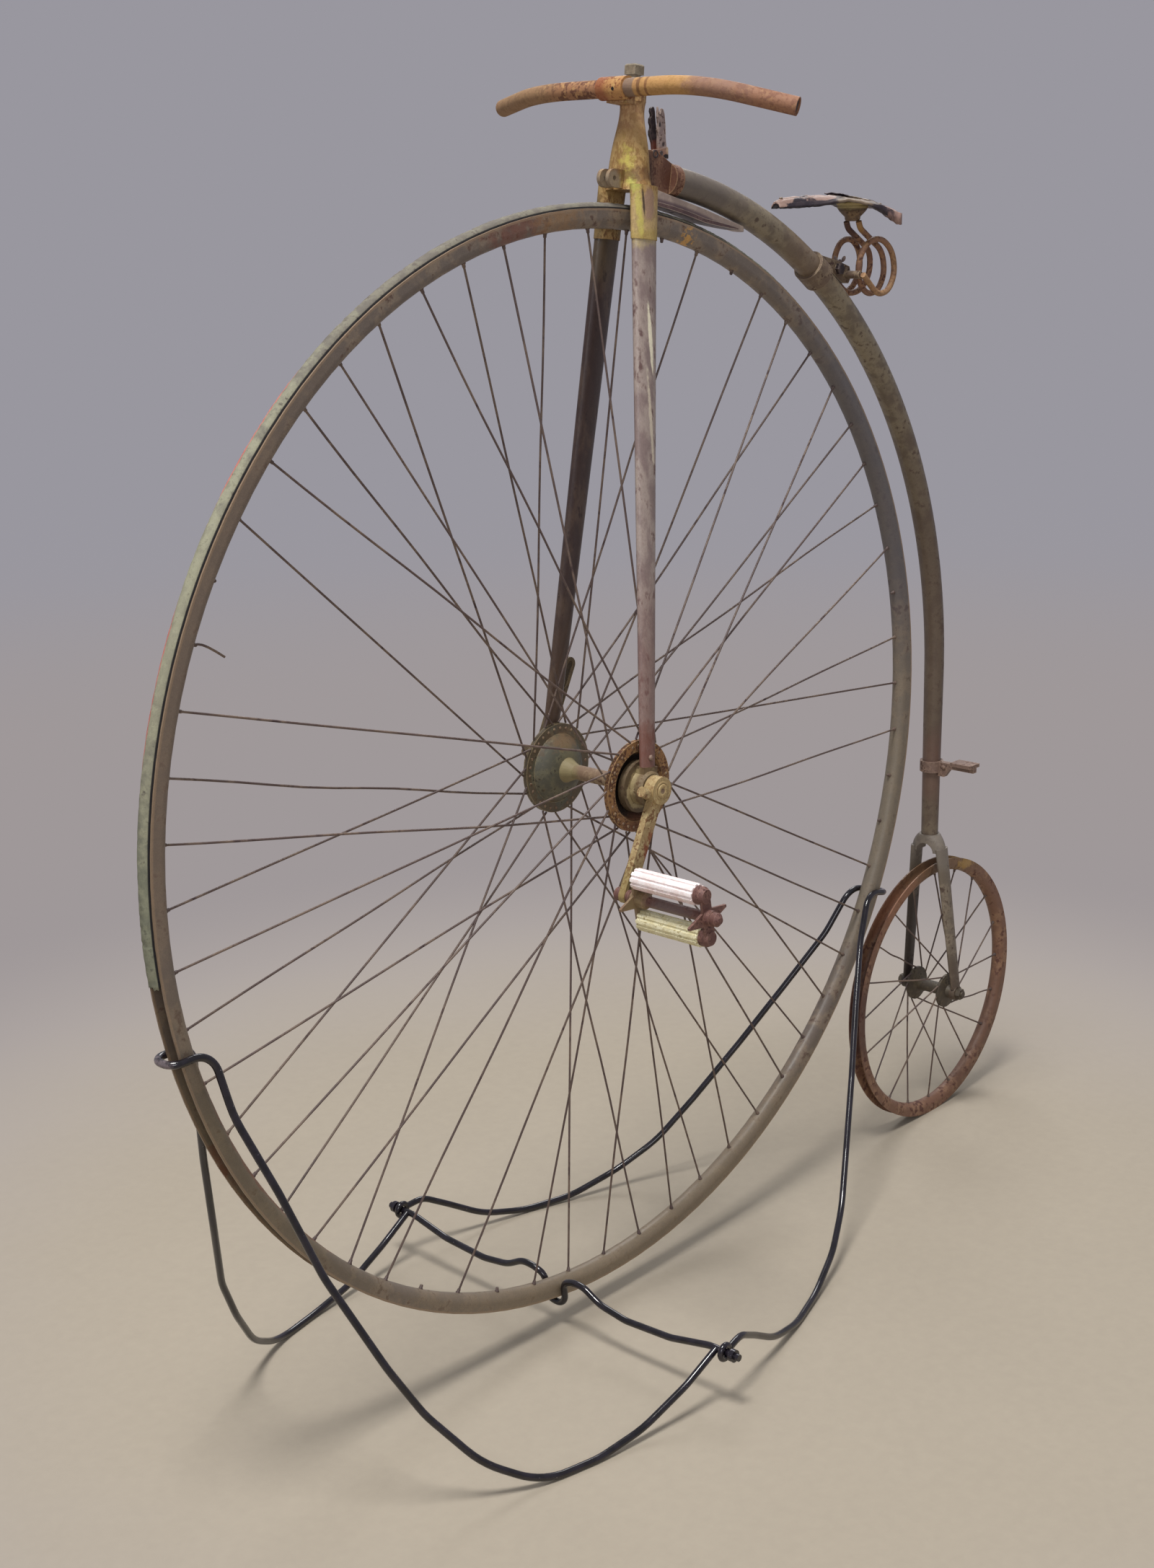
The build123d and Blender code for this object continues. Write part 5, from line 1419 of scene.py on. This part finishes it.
@dataclass
class Fastenings:
    """The bolts, nuts and rivets that the frame's pieces are held with, each kind by one table of places.

    Profiles are (radius, height) in millimetres, and so are the wing nut's sizes.

    Attributes:
        hex_head, rivet, washer, axle_ring, eye, bore_shade_disc, wing_body: The turned profiles.
        wing_size: The wing nut's size, as a share of the drawn one.
        ear_at: Each ear's middle, out from the nut's axis and up from its foot.
        ear_half: An ear's half thickness, width and height.
        ear_lean: How far an ear leans out, in degrees.
        ear_rows: An ear's rounding: share of the half thickness, share of the width and height.
        ear_sides: How many corners an ear's outline has.
    """

    hex_head: Profile = ((6.0, -0.5), (6.0, 3.2), (5.2, 4.0), (3.4, 4.2))
    rivet: Profile = ((3.3, -0.6), (3.3, 0.6), (2.8, 1.5), (1.8, 2.1), (0.6, 2.3))
    washer: Profile = ((7.6, -0.4), (7.6, 0.9), (7.0, 1.3), (6.0, 1.35))
    axle_ring: Profile = (
        (11.6, -0.4), (11.4, 0.2), (9.4, 0.5), (9.0, 0.15), (8.3, 0.15), (8.1, 1.1), (7.2, 1.5), (4.6, 1.5),
        (3.6, 1.2), (2.4, 0.4), (1.2, 0.3))
    eye: Profile = ((4.7, -0.5), (4.7, 0.9), (4.2, 1.5), (3.3, 1.6), (2.6, 1.0), (2.2, 0.1))
    bore_shade_disc: Profile = ((7.9, -0.9), (8.34, -0.5), (8.34, 0.5), (7.2, 0.9), (3.0, 0.5))
    wing_body: Profile = ((5.0, -0.5), (5.0, 1.0), (4.2, 5.5), (3.0, 7.0), (2.2, 8.6), (1.4, 9.0))
    wing_size: float = 0.72
    ear_at: tuple[float, float] = (8.5, 9.5)
    ear_half: Triple = (1.5, 3.6, 6.0)
    ear_lean: float = 34.0
    ear_rows: Profile = (
        (-1.0, 0.754), (-0.8, 0.88), (-0.4, 0.975), (0.0, 1.0), (0.4, 0.975), (0.8, 0.88), (1.0, 0.754))
    ear_sides: int = 14

    def build(self, shop: Workshop) -> None:
        """Builds every kind of fastening on the bodies that carry them.

        Args:
            shop: The finishes and tools.
        """
        leg_bolt, boss_out = Vector((0.1374, 0.0832, 0.7212)), LEFT * 0.103
        mirrored = Vector((leg_bolt.x, -leg_bolt.y, leg_bolt.z))
        # Name, profile, sides, places, body, slot, finish
        kinds = (
            ("leg_bolts", self.rivet, 14, ((leg_bolt, LEFT, 1.15), (mirrored, -LEFT, 1.15)),
             "stand_and_fork", "brown_rust", STEP_BROWN),
            ("crank_rings", self.axle_ring, 28, ((AXLE + boss_out, LEFT, 1.0), (AXLE - boss_out, -LEFT, 1.0)),
             "front_wheel", "ochre_paint", CRANK_OCHRE),
            ("clamp_washer", self.washer, 20, ((CLAMP_BOLT, LEFT, 1.0),), "backbone", "dark_rust", CLAMP_BROWN),
            ("clamp_bolt", self.hex_head, NUT_SIDES, ((CLAMP_BOLT + LEFT * 0.0012, LEFT, 1.3),),
             "backbone", "dark_rust", STRIP_DARK),
            ("step_rivet", self.rivet, 14, ((Vector((-0.5797, 0.0235, 0.5475)), Vector((1.0, 0.0, 0.0)), 1.0),),
             "backbone", "olive_rust", STEP_BROWN),
            # Painted shade: a dark disc just inside each open end of the bar stands for the shade deep in its bore.
            ("bar_bores", self.bore_shade_disc, 24, tuple(bore_places()), "stand_and_fork", "bar_steel", STRIP_DARK),
            ("catch_eyes", self.eye, 20, ((Vector((0.0312, 0.0072, 1.3938)), LEFT, 1.0),
                                          (Vector((0.0205, 0.0072, 1.3948)), LEFT, 0.6)),
             "backbone", "dark_rust", STRIP_DARK),
        )
        for name, profile, sides, places, body, slot, finish in kinds:
            unit = turned_unit(name + "_unit", profile, sides)
            spin = 0.0 if sides == NUT_SIDES else math.tau
            made = shop.repeat.place(name, unit, places, shop.paint.get(finish), spin)
            shop.hand_over(made, body)
        self.wing_nut(shop)

    def wing_nut(self, shop: Workshop) -> None:
        """Builds the wing nut on the clamp's arm, two thick rounded ears on a turned body.

        Args:
            shop: The finishes and tools.
        """
        build = bmesh.new()
        ring_faces(build, turned_rings(build, self.wing_body, 16, WING_NUT))
        out, up = (MM * value for value in self.ear_at)
        thick, wide, tall = (MM * value for value in self.ear_half)
        for side in (1, -1):
            centre = WING_NUT + Vector((0.0, out * side, up))
            tilt = Matrix.Rotation(-math.radians(self.ear_lean) * side, 3, "X")
            ring_faces(build, [[build.verts.new(centre + tilt @ Vector((
                thick * share, wide * grow * math.cos(angle), tall * grow * math.sin(angle))))
                for angle in circle(self.ear_sides)] for share, grow in self.ear_rows])
        size = Vector((self.wing_size,) * 3)
        bmesh.ops.scale(build, vec=size, space=Matrix.Translation(-WING_NUT), verts=build.verts)
        shop.hand_over(to_object("clamp_wing_nut", build), "backbone", NUT_GREY)


@dataclass
class BrakeCatch:
    """The worn catch plates of the lost brake, and the lip under the trough behind them, painted dark as shade with a
    painted highlight on its edges.

    Outlines are (ahead, up), in millimetres as all sizes here.

    Attributes:
        toothed: The right plate's outline.
        notched: The left plate's outline.
        foot: The outline of the block below both.
        lip_rows: The lip's degrees round the hub, and the clearance of both its sides from the tyre.
        lip_half: Half the lip's width.
        crown: The tyre's radius.
    """

    toothed: Profile = (
        (27.0, 1445.3), (30.4, 1443.6), (31.2, 1440.0), (29.0, 1436.6), (29.2, 1434.6), (32.2, 1432.6), (32.6, 1428.0),
        (30.2, 1424.6), (30.4, 1421.6), (32.8, 1419.0), (32.8, 1414.6), (30.6, 1410.6), (28.2, 1406.0), (27.6, 1396.0),
        (18.6, 1396.0), (20.0, 1408.0), (21.4, 1414.0), (20.8, 1420.0), (22.6, 1430.0), (23.4, 1440.0), (24.8, 1444.6))
    notched: Profile = (
        (24.6, 1445.2), (23.6, 1441.0), (21.8, 1436.4), (19.8, 1438.4), (18.4, 1443.4), (15.4, 1442.2), (13.4, 1437.0),
        (12.8, 1432.0), (12.0, 1424.0), (11.8, 1410.0), (10.6, 1402.0), (9.4, 1396.0), (25.0, 1396.0), (25.4, 1405.0),
        (24.0, 1413.0), (25.6, 1420.0), (24.2, 1427.0), (25.8, 1434.0), (25.4, 1440.0))
    foot: Profile = (
        (36.2, 1388.4), (36.6, 1395.0), (33.6, 1398.6), (22.0, 1399.4), (14.0, 1400.8), (10.0, 1402.4), (7.4, 1400.6),
        (7.0, 1388.4))
    lip_rows: Sequence[Triple] = (
        (99.55, 3.4, 8.2), (101.5, 3.2, 8.0), (103.5, 3.2, 8.0), (105.5, 3.2, 8.1), (107.2, 3.6, 8.3),
        (109.0, 6.6, 11.4), (111.0, 11.4, 15.2), (112.6, 16.2, 18.4))
    lip_half: float = 10.1
    crown: float = 657.5

    def lip(self) -> list[tuple[float, float]]:
        """Draws the lip along the tyre.

        Returns:
            Its corners, (ahead, up).
        """
        low, high = [], []
        for degrees, under, over in self.lip_rows:
            angle = math.radians(degrees)
            for edge, clear in ((low, under), (high, over)):
                radius = self.crown + clear
                edge.append((HUB.x / MM + radius * math.cos(angle), HUB.z / MM + radius * math.sin(angle)))
        return low + high[::-1]

    def build(self, shop: Workshop) -> None:
        """Builds the plates and the lip.

        Args:
            shop: The finishes and tools.
        """
        # Name, outline, right side, left side, bevel, finish, what it stands for
        for name, outline, low, high, bevel, finish, nodes in (
                ("catch_toothed", self.toothed, -2.0, 1.2, 0.4, STRIP_DARK, ("brake_strips",)),
                ("catch_notched", self.notched, 4.2, 7.0, 0.4, STRIP_PALE, ()),
                ("catch_foot", self.foot, -7.2, 7.2, 1.2, STRIP_PALE, ()),
                ("trough_lip", self.lip(), -self.lip_half, self.lip_half, 0.5, TROUGH_LIP_SHADED, ())):
            shop.hand_over(prism(name, outline, low, high, bevel), "backbone", finish, nodes)


@dataclass
class Saddle:
    """The dry, torn leather top of the saddle, a thin warped sheet with a loose flap on it.

    Attributes:
        rows: Share of the length, then half width, ridge above the top and drop at the edge, in millimetres.
        length: The top's length, in metres.
        thick: Its thickness, in metres.
        rolled: How deep its rear corner has curled down, in metres.
        bend: How sharply it drops towards its edge, as a power.
        warp: How uneven its middle is, in metres.
        pucker: How uneven a sheet's own surface is, in metres.
        along: How many steps a sheet has along.
        across: How many it has across.
        boss_rows: The boss's shares of its half width and of its height.
        boss_sides: How many sides the boss has.
        rivets: Each rivet's share of the length, of the half width, and its size.
    """

    rows: Sequence[tuple[float, float, float, float]] = (
        (0.0, 6.6, -3.4, 6.0), (0.08, 11.2, 0.8, 10.0), (0.30, 14.8, 2.8, 11.0), (0.55, 28.6, 2.4, 5.0),
        (0.78, 42.6, -1.6, 9.0), (1.0, 46.6, -11.0, 11.0))
    length: float = 0.207
    thick: float = 0.0042
    rolled: float = 0.0115
    bend: float = 2.2
    warp: float = 0.0009
    pucker: float = 0.0004
    along: int = 90
    across: int = 34
    boss_rows: Profile = (
        (0.30, 0.0), (0.40, 0.02), (0.46, 0.10), (0.47, 0.22), (0.62, 0.34), (0.80, 0.50), (0.90, 0.62), (0.93, 0.72),
        (0.89, 0.76), (0.95, 0.80), (1.0, 0.88), (0.97, 0.97), (0.90, 1.0))
    boss_sides: int = 40
    rivets: Sequence[Triple] = ((0.05, 0.0, 0.7), (0.62, 0.2, 0.8), (0.90, 0.55, 0.7))

    def __post_init__(self) -> None:
        """Takes the nose's place and the top's height from the node it replaces."""
        low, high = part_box("saddle_top")
        self.nose = high[0]
        self.top = high[2] - 0.003

    def row(self, share: float) -> tuple[float, float, float]:
        """Reads the rows, with soft bends between them.

        Args:
            share: The share of the length.

        Returns:
            The half width, ridge and drop there, in metres.
        """
        rows = self.rows
        for before, after in zip(rows, rows[1:]):
            if share <= after[0]:
                part = (share - before[0]) / (after[0] - before[0])
                ease = part * part * (3 - 2 * part) * 0.5 + part * 0.5
                return tuple(MM * (a + ease * (b - a)) for a, b in zip(before[1:], after[1:]))
        return tuple(MM * value for value in rows[-1][1:])

    def surface(self, share: float, side: float) -> Vector:
        """Finds a point of the top side.

        Args:
            share: The share of the length.
            side: The share of the half width, positive to the left.

        Returns:
            The point.
        """
        half, ridge, drop = self.row(min(share, 1.0))
        if side < 0:
            drop *= 1.0 - 0.75 * min(1.0, max(0.0, (share - 0.25) / 0.3))
        fall = abs(side) ** self.bend
        warp = self.warp * wave(share * 21.0, side * 3.0) * (1 - fall)
        return Vector((self.nose - share * self.length, half * side, self.top + ridge - drop * fall + warp))

    def sheet(self, name: str, first: float, last: float, left: float, right: float, lift: float,
              thick: float, torn: float) -> bpy.types.Object:
        """Makes a closed thin sheet that follows the top between four edges.

        Args:
            name: The piece's name.
            first: The front edge's share of the length.
            last: The rear edge's share.
            left: The left edge's share of the half width.
            right: The right edge's share.
            lift: How far it stands off the top at its front.
            thick: Its thickness.
            torn: How ragged its edges are, as a share of the length.

        Returns:
            The sheet, with its wear kept as an attribute.
        """
        build = bmesh.new()
        layer = build.verts.layers.float.new("wear")
        tops, lows = [], []
        for step in range(self.along + 1):
            part = step / self.along
            top_row, low_row = [], []
            for place in range(self.across + 1):
                cross = place / self.across
                ragged = torn * (wave(cross * 17.0, cross * 41.0) if step == self.along else 0.0)
                share = first + part * (last - first) + ragged * (1.0 if cross not in (0.0, 1.0) else 0.4)
                side = left + cross * (right - left)
                nibble = 0.5 * torn * (1 + wave(part * 63.0, part * 29.0)) if place in (0, self.across) else 0.0
                point = self.surface(share, side * (1.0 - nibble))
                wear = self.wear(share, side)
                up = Vector((0.0, 0.0, lift * (1 - part) ** 2 + self.pucker * wave(part * 31.0, cross * 19.0)))
                upper = build.verts.new(point + up)
                upper[layer] = wear
                deep = thick * (0.75 + 0.25 * (1 - abs(side))) + self.curl(share, side, thick)
                lower = build.verts.new(point + up - Vector((0.0, 0.0, deep)))
                lower[layer] = wear if share > 0.8 and side > 0.5 else 0.0
                top_row.append(upper)
                low_row.append(lower)
            tops.append(top_row)
            lows.append(low_row)
        self.skin(build, tops, lows)
        return to_object(name, build)

    def curl(self, share: float, side: float, thick: float) -> float:
        """Says how much deeper the leather is where its rear corner has curled down on itself.

        Args:
            share: The share of the length.
            side: The share of the half width.
            thick: The sheet's thickness.

        Returns:
            The extra depth in metres, none on a thin sheet.
        """
        if thick < self.thick:
            return 0.0
        back = min(1.0, max(0.0, (share - 0.70) / 0.25))
        out = min(1.0, max(0.0, (side - 0.1) / 0.7))
        return self.rolled * back * out * (1 + 0.15 * wave(share * 40.0, side * 9.0))

    def wear(self, share: float, side: float) -> float:
        """Says how worn the leather is: most along the ridge, and all over the nose and the tail.

        Args:
            share: The share of the length.
            side: The share of the half width.

        Returns:
            The wear, 0 to 1.
        """
        ridge = max(0.0, 1.0 - abs(side) ** 4)
        ends = max(0.0, 1.0 - share / 0.12, (share - 0.84) / 0.16)
        patchy = 0.68 + 0.22 * math.sin(share * 19.0 + 0.8 * side) - (0.3 if share > 0.56 else 0.0)
        return min(1.0, max(ridge * patchy, ends))

    def boss(self, shop: Workshop) -> None:
        """Builds the rounded boss that the spring's upper ends sit in.

        Args:
            shop: The finishes and tools.
        """
        low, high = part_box("saddle_boss")
        half_long, half_wide = (high[0] - low[0]) / 2, (high[1] - low[1]) / 2
        tall = high[2] - low[2]
        build = bmesh.new()
        rings = []
        for share, up in self.boss_rows:
            ring = []
            for turn in circle(self.boss_sides):
                uneven = share * (1 + 0.02 * math.cos(6 * turn) + 0.012 * wave(3 * turn, up * 9))
                ring.append(build.verts.new(((low[0] + high[0]) / 2 + half_long * uneven * math.cos(turn),
                                             half_wide * uneven * math.sin(turn), low[2] + tall * up)))
            rings.append(ring)
        ring_faces(build, rings)
        shop.hand_over(to_object("saddle_cup", build), "backbone", BOSS_CREAM, ("saddle_boss",))

    def skin(self, build: bmesh.types.BMesh, tops: list, lows: list) -> None:
        """Joins the two sides of a sheet and its four edges into a closed skin.

        Args:
            build: The edit mesh they are in.
            tops: The rows of the upper side.
            lows: The rows of the lower side.
        """
        last, wide = len(tops) - 1, len(tops[0]) - 1
        for i in range(last):
            for j in range(wide):
                build.faces.new((tops[i][j], tops[i][j + 1], tops[i + 1][j + 1], tops[i + 1][j]))
                build.faces.new((lows[i][j], lows[i + 1][j], lows[i + 1][j + 1], lows[i][j + 1]))
            for j in (0, wide):
                build.faces.new((tops[i][j], tops[i + 1][j], lows[i + 1][j], lows[i][j]))
        for j in range(wide):
            for i in (0, last):
                build.faces.new((tops[i][j], tops[i][j + 1], lows[i][j + 1], lows[i][j]))

    def build(self, shop: Workshop) -> None:
        """Builds the top and its torn flap.

        Args:
            shop: The finishes and tools.
        """
        leather = shop.paint.get(SADDLE_BLACK)
        top = self.sheet("saddle_leather", first=0.0, last=0.985, left=-1.0, right=1.0, lift=0.0, thick=self.thick,
                         torn=0.02)
        top = shop.weather.apply(top, leather, depth=0.0009, grain=190.0, dents=45.0)
        shop.hand_over(top, "backbone", replaces=("saddle_top",))
        self.boss(shop)
        rivet = turned_unit("saddle_rivet_unit", Fastenings.rivet, 14)
        places = [(self.surface(share, side), Vector((0.1, 0.0, 1.0)), size) for share, side, size in self.rivets]
        made = shop.repeat.place("saddle_rivets", rivet, places, shop.paint.get(CLAMP_BROWN))
        shop.hand_over(made, "backbone")
        flap = self.sheet("saddle_flap", first=0.55, last=0.97, left=-0.35, right=0.62, lift=0.0030, thick=0.0014,
                          torn=0.03)
        flap = shop.weather.apply(flap, leather, depth=0.0008, grain=210.0, dents=60.0)
        shop.hand_over(flap, "backbone")


# Studio

@dataclass
class Studio:
    """The floor, the sweep round it, the lamps and the camera.

    The camera's place and turn are the photograph's own, found from the wheel's rim and the stand.
    Lamp columns: name, place, size, power, colour.
    """

    camera_at: Triple = (1.9134, 1.6077, 1.3447)
    yaw: float = -2.3954
    pitch: float = 0.2723
    roll: float = -0.0199
    focal_px: float = 2896.1
    frame_height_px: float = 2174.0
    sensor: float = 36.0
    floor_radius: float = 5.5
    sweep_radius: float = 1.5
    sweep_height: float = 6.0
    sweep_bends: int = 12
    floor_sides: int = 96
    floor_colour: Triple = tone(166, 155, 139)
    near_wall: Triple = tone(180, 171, 165)
    middle_wall: Triple = tone(159, 152, 153)
    far_wall: Triple = tone(153, 151, 159)
    room_colour: Triple = (0.95, 0.96, 1.0)
    room_strength: float = 0.31
    lamps: Sequence[tuple[str, Triple, float, float, Triple]] = (
        ("key", (1.9, 0.6, 6.4), 1.8, 365.0, (1.0, 0.99, 0.97)),
        ("fill", (3.4, 3.4, 2.4), 2.0, 44.0, (0.98, 0.98, 1.0)),
        ("back", (-3.0, -2.2, 4.0), 2.0, 60.0, (1.0, 1.0, 1.0)))
    lamp_target: Triple = (0.0, 0.0, 0.7)

    def camera(self) -> None:
        """Makes the camera at the photograph's angle."""
        forward = Vector((math.cos(self.yaw) * math.cos(self.pitch), math.sin(self.yaw) * math.cos(self.pitch),
                          -math.sin(self.pitch)))
        right = forward.cross(Vector((0, 0, 1))).normalized()
        up = right.cross(forward)
        side = math.cos(self.roll) * right + math.sin(self.roll) * up
        top = math.cos(self.roll) * up - math.sin(self.roll) * right
        turn = Matrix((side, top, -forward)).transposed().to_4x4()
        data = bpy.data.cameras.new("camera")
        data.sensor_width = self.sensor
        data.lens = self.focal_px / self.frame_height_px * self.sensor
        data.clip_end = 60.0
        seen = bpy.data.objects.new("camera", data)
        bpy.context.scene.collection.objects.link(seen)
        seen.matrix_world = Matrix.Translation(self.camera_at) @ turn
        bpy.context.scene.camera = seen

    def ground_material(self) -> bpy.types.Material:
        """Builds the ground's material.

        Returns:
            The material, a lit floor near the object and an even backdrop further out.
        """
        made, tree = new_material("ground")
        place = tree.add("ShaderNodeTexCoord").outputs["Object"]
        reach = tree.vector("LENGTH", place).outputs["Value"]
        mottle = tree.noise(place, 2.6, 6.0, 0.6)
        fine = tree.noise(place, 60.0, 3.0, 0.6)
        shade = tree.math("ADD", 0.88, tree.math("MULTIPLY", tree.math("ADD", mottle, fine), 0.12))
        wall = tree.mix(tree.step(reach, 0.95, 1.8), self.near_wall, self.middle_wall)
        wall = tree.mix(tree.step(reach, 3.0, 6.5), wall, self.far_wall)
        far = tree.step(tree.math("ADD", reach, tree.math("MULTIPLY", mottle, 0.25)), 0.75, 1.5)
        shader = tree.add("ShaderNodeBsdfPrincipled", None, Roughness=0.75)
        tree.feed(shader, "Base Color", tree.mix(1.0, self.floor_colour, tree.grey(shade), "MULTIPLY"))
        plain = tree.add("ShaderNodeEmission", None, Color=wall)
        seen = tree.add("ShaderNodeLightPath")
        straight = tree.math("MAXIMUM", seen.outputs["Is Camera Ray"], seen.outputs["Is Glossy Ray"])
        both = tree.add("ShaderNodeMixShader", None, Fac=tree.math("MULTIPLY", far, straight))
        tree.feed(both, 1, shader.outputs[0])
        tree.feed(both, 2, plain.outputs[0])
        tree.feed(tree.add("ShaderNodeOutputMaterial"), "Surface", both.outputs[0])
        return made

    def ground(self) -> None:
        """Makes the floor's disc and the sweep that rises round it."""
        floor = [(0.0, 0.0), (self.floor_radius * 0.5, 0.0), (self.floor_radius, 0.0)]
        sweep = [(self.floor_radius, 0.0)]
        for bend in range(1, self.sweep_bends + 1):
            angle = math.pi / 2 * bend / self.sweep_bends
            sweep.append((self.floor_radius + self.sweep_radius * math.sin(angle),
                          self.sweep_radius * (1 - math.cos(angle))))
        sweep.append((self.floor_radius + self.sweep_radius, self.sweep_height))
        material = self.ground_material()
        for name, profile in (("floor", floor), ("sweep", sweep)):
            made = turned_sheet(name, profile, self.floor_sides)
            made.data.materials.append(material)
            if name == "sweep":
                made.visible_shadow = False
                made.visible_diffuse = False

    def lights(self) -> None:
        """Sets the soft lamps and the even light of the room."""
        world = bpy.data.worlds.new("room")
        bpy.context.scene.world = world
        world.use_nodes = True
        back = world.node_tree.nodes["Background"]
        back.inputs["Color"].default_value = (*self.room_colour, 1.0)
        back.inputs["Strength"].default_value = self.room_strength
        for name, place, size, power, colour in self.lamps:
            data = bpy.data.lights.new(name, "AREA")
            data.shape = "DISK"
            data.size = size
            data.energy = power
            data.color = colour
            lamp = bpy.data.objects.new(name, data)
            bpy.context.scene.collection.objects.link(lamp)
            lamp.location = place
            lamp.rotation_mode = "QUATERNION"
            lamp.rotation_quaternion = (Vector(self.lamp_target) - Vector(place)).to_track_quat("-Z", "Y")

    def build(self) -> None:
        """Builds the studio."""
        self.camera()
        self.ground()
        self.lights()
        bpy.context.scene.view_settings.view_transform = "Standard"
        log.info("studio built")


def main() -> None:
    """Builds the scene, piece by piece."""
    logging.basicConfig(level=logging.INFO, format="%(name)s %(message)s")
    Studio().build()
    shop = Workshop(Paintwork(), Repeater(), Weathering(), WireDrawer())
    shop.paint.dress_nodes()
    front = WireWheel(
        "front_wheel", HUB, rim=0.629, flange=0.0546, flange_out=0.0645, head_circle=0.0490,
        head_faces=(0.0615, 0.0675), lean=36.0, weave=0.0015, count=60, alternate=True, wire=0.0013,
        stands_for=("front_spokes_left", "front_spokes_right"),
        missing=(5, 17, 19, 28, 32, 33, 48, 50), broken=(4,))
    front.build(shop, SPOKE_STEEL, AXLE_TAN, "spoke_steel")
    rear = WireWheel(
        "rear_wheel", REAR, rim=0.1793, flange=0.0250, flange_out=0.0260, head_circle=0.0215,
        head_faces=(0.0240, 0.0280), lean=50.0, weave=0.0, count=20, alternate=False, wire=0.0012,
        stands_for=("rear_spokes",), nipple=0.9, bent=0.0012)
    rear.build(shop, SPOKE_STEEL, REAR_OLIVE, "spoke_steel")
    Tyre().build(shop)
    Fastenings().build(shop)
    BrakeCatch().build(shop)
    Saddle().build(shop)


if __name__ == "__main__":
    main()
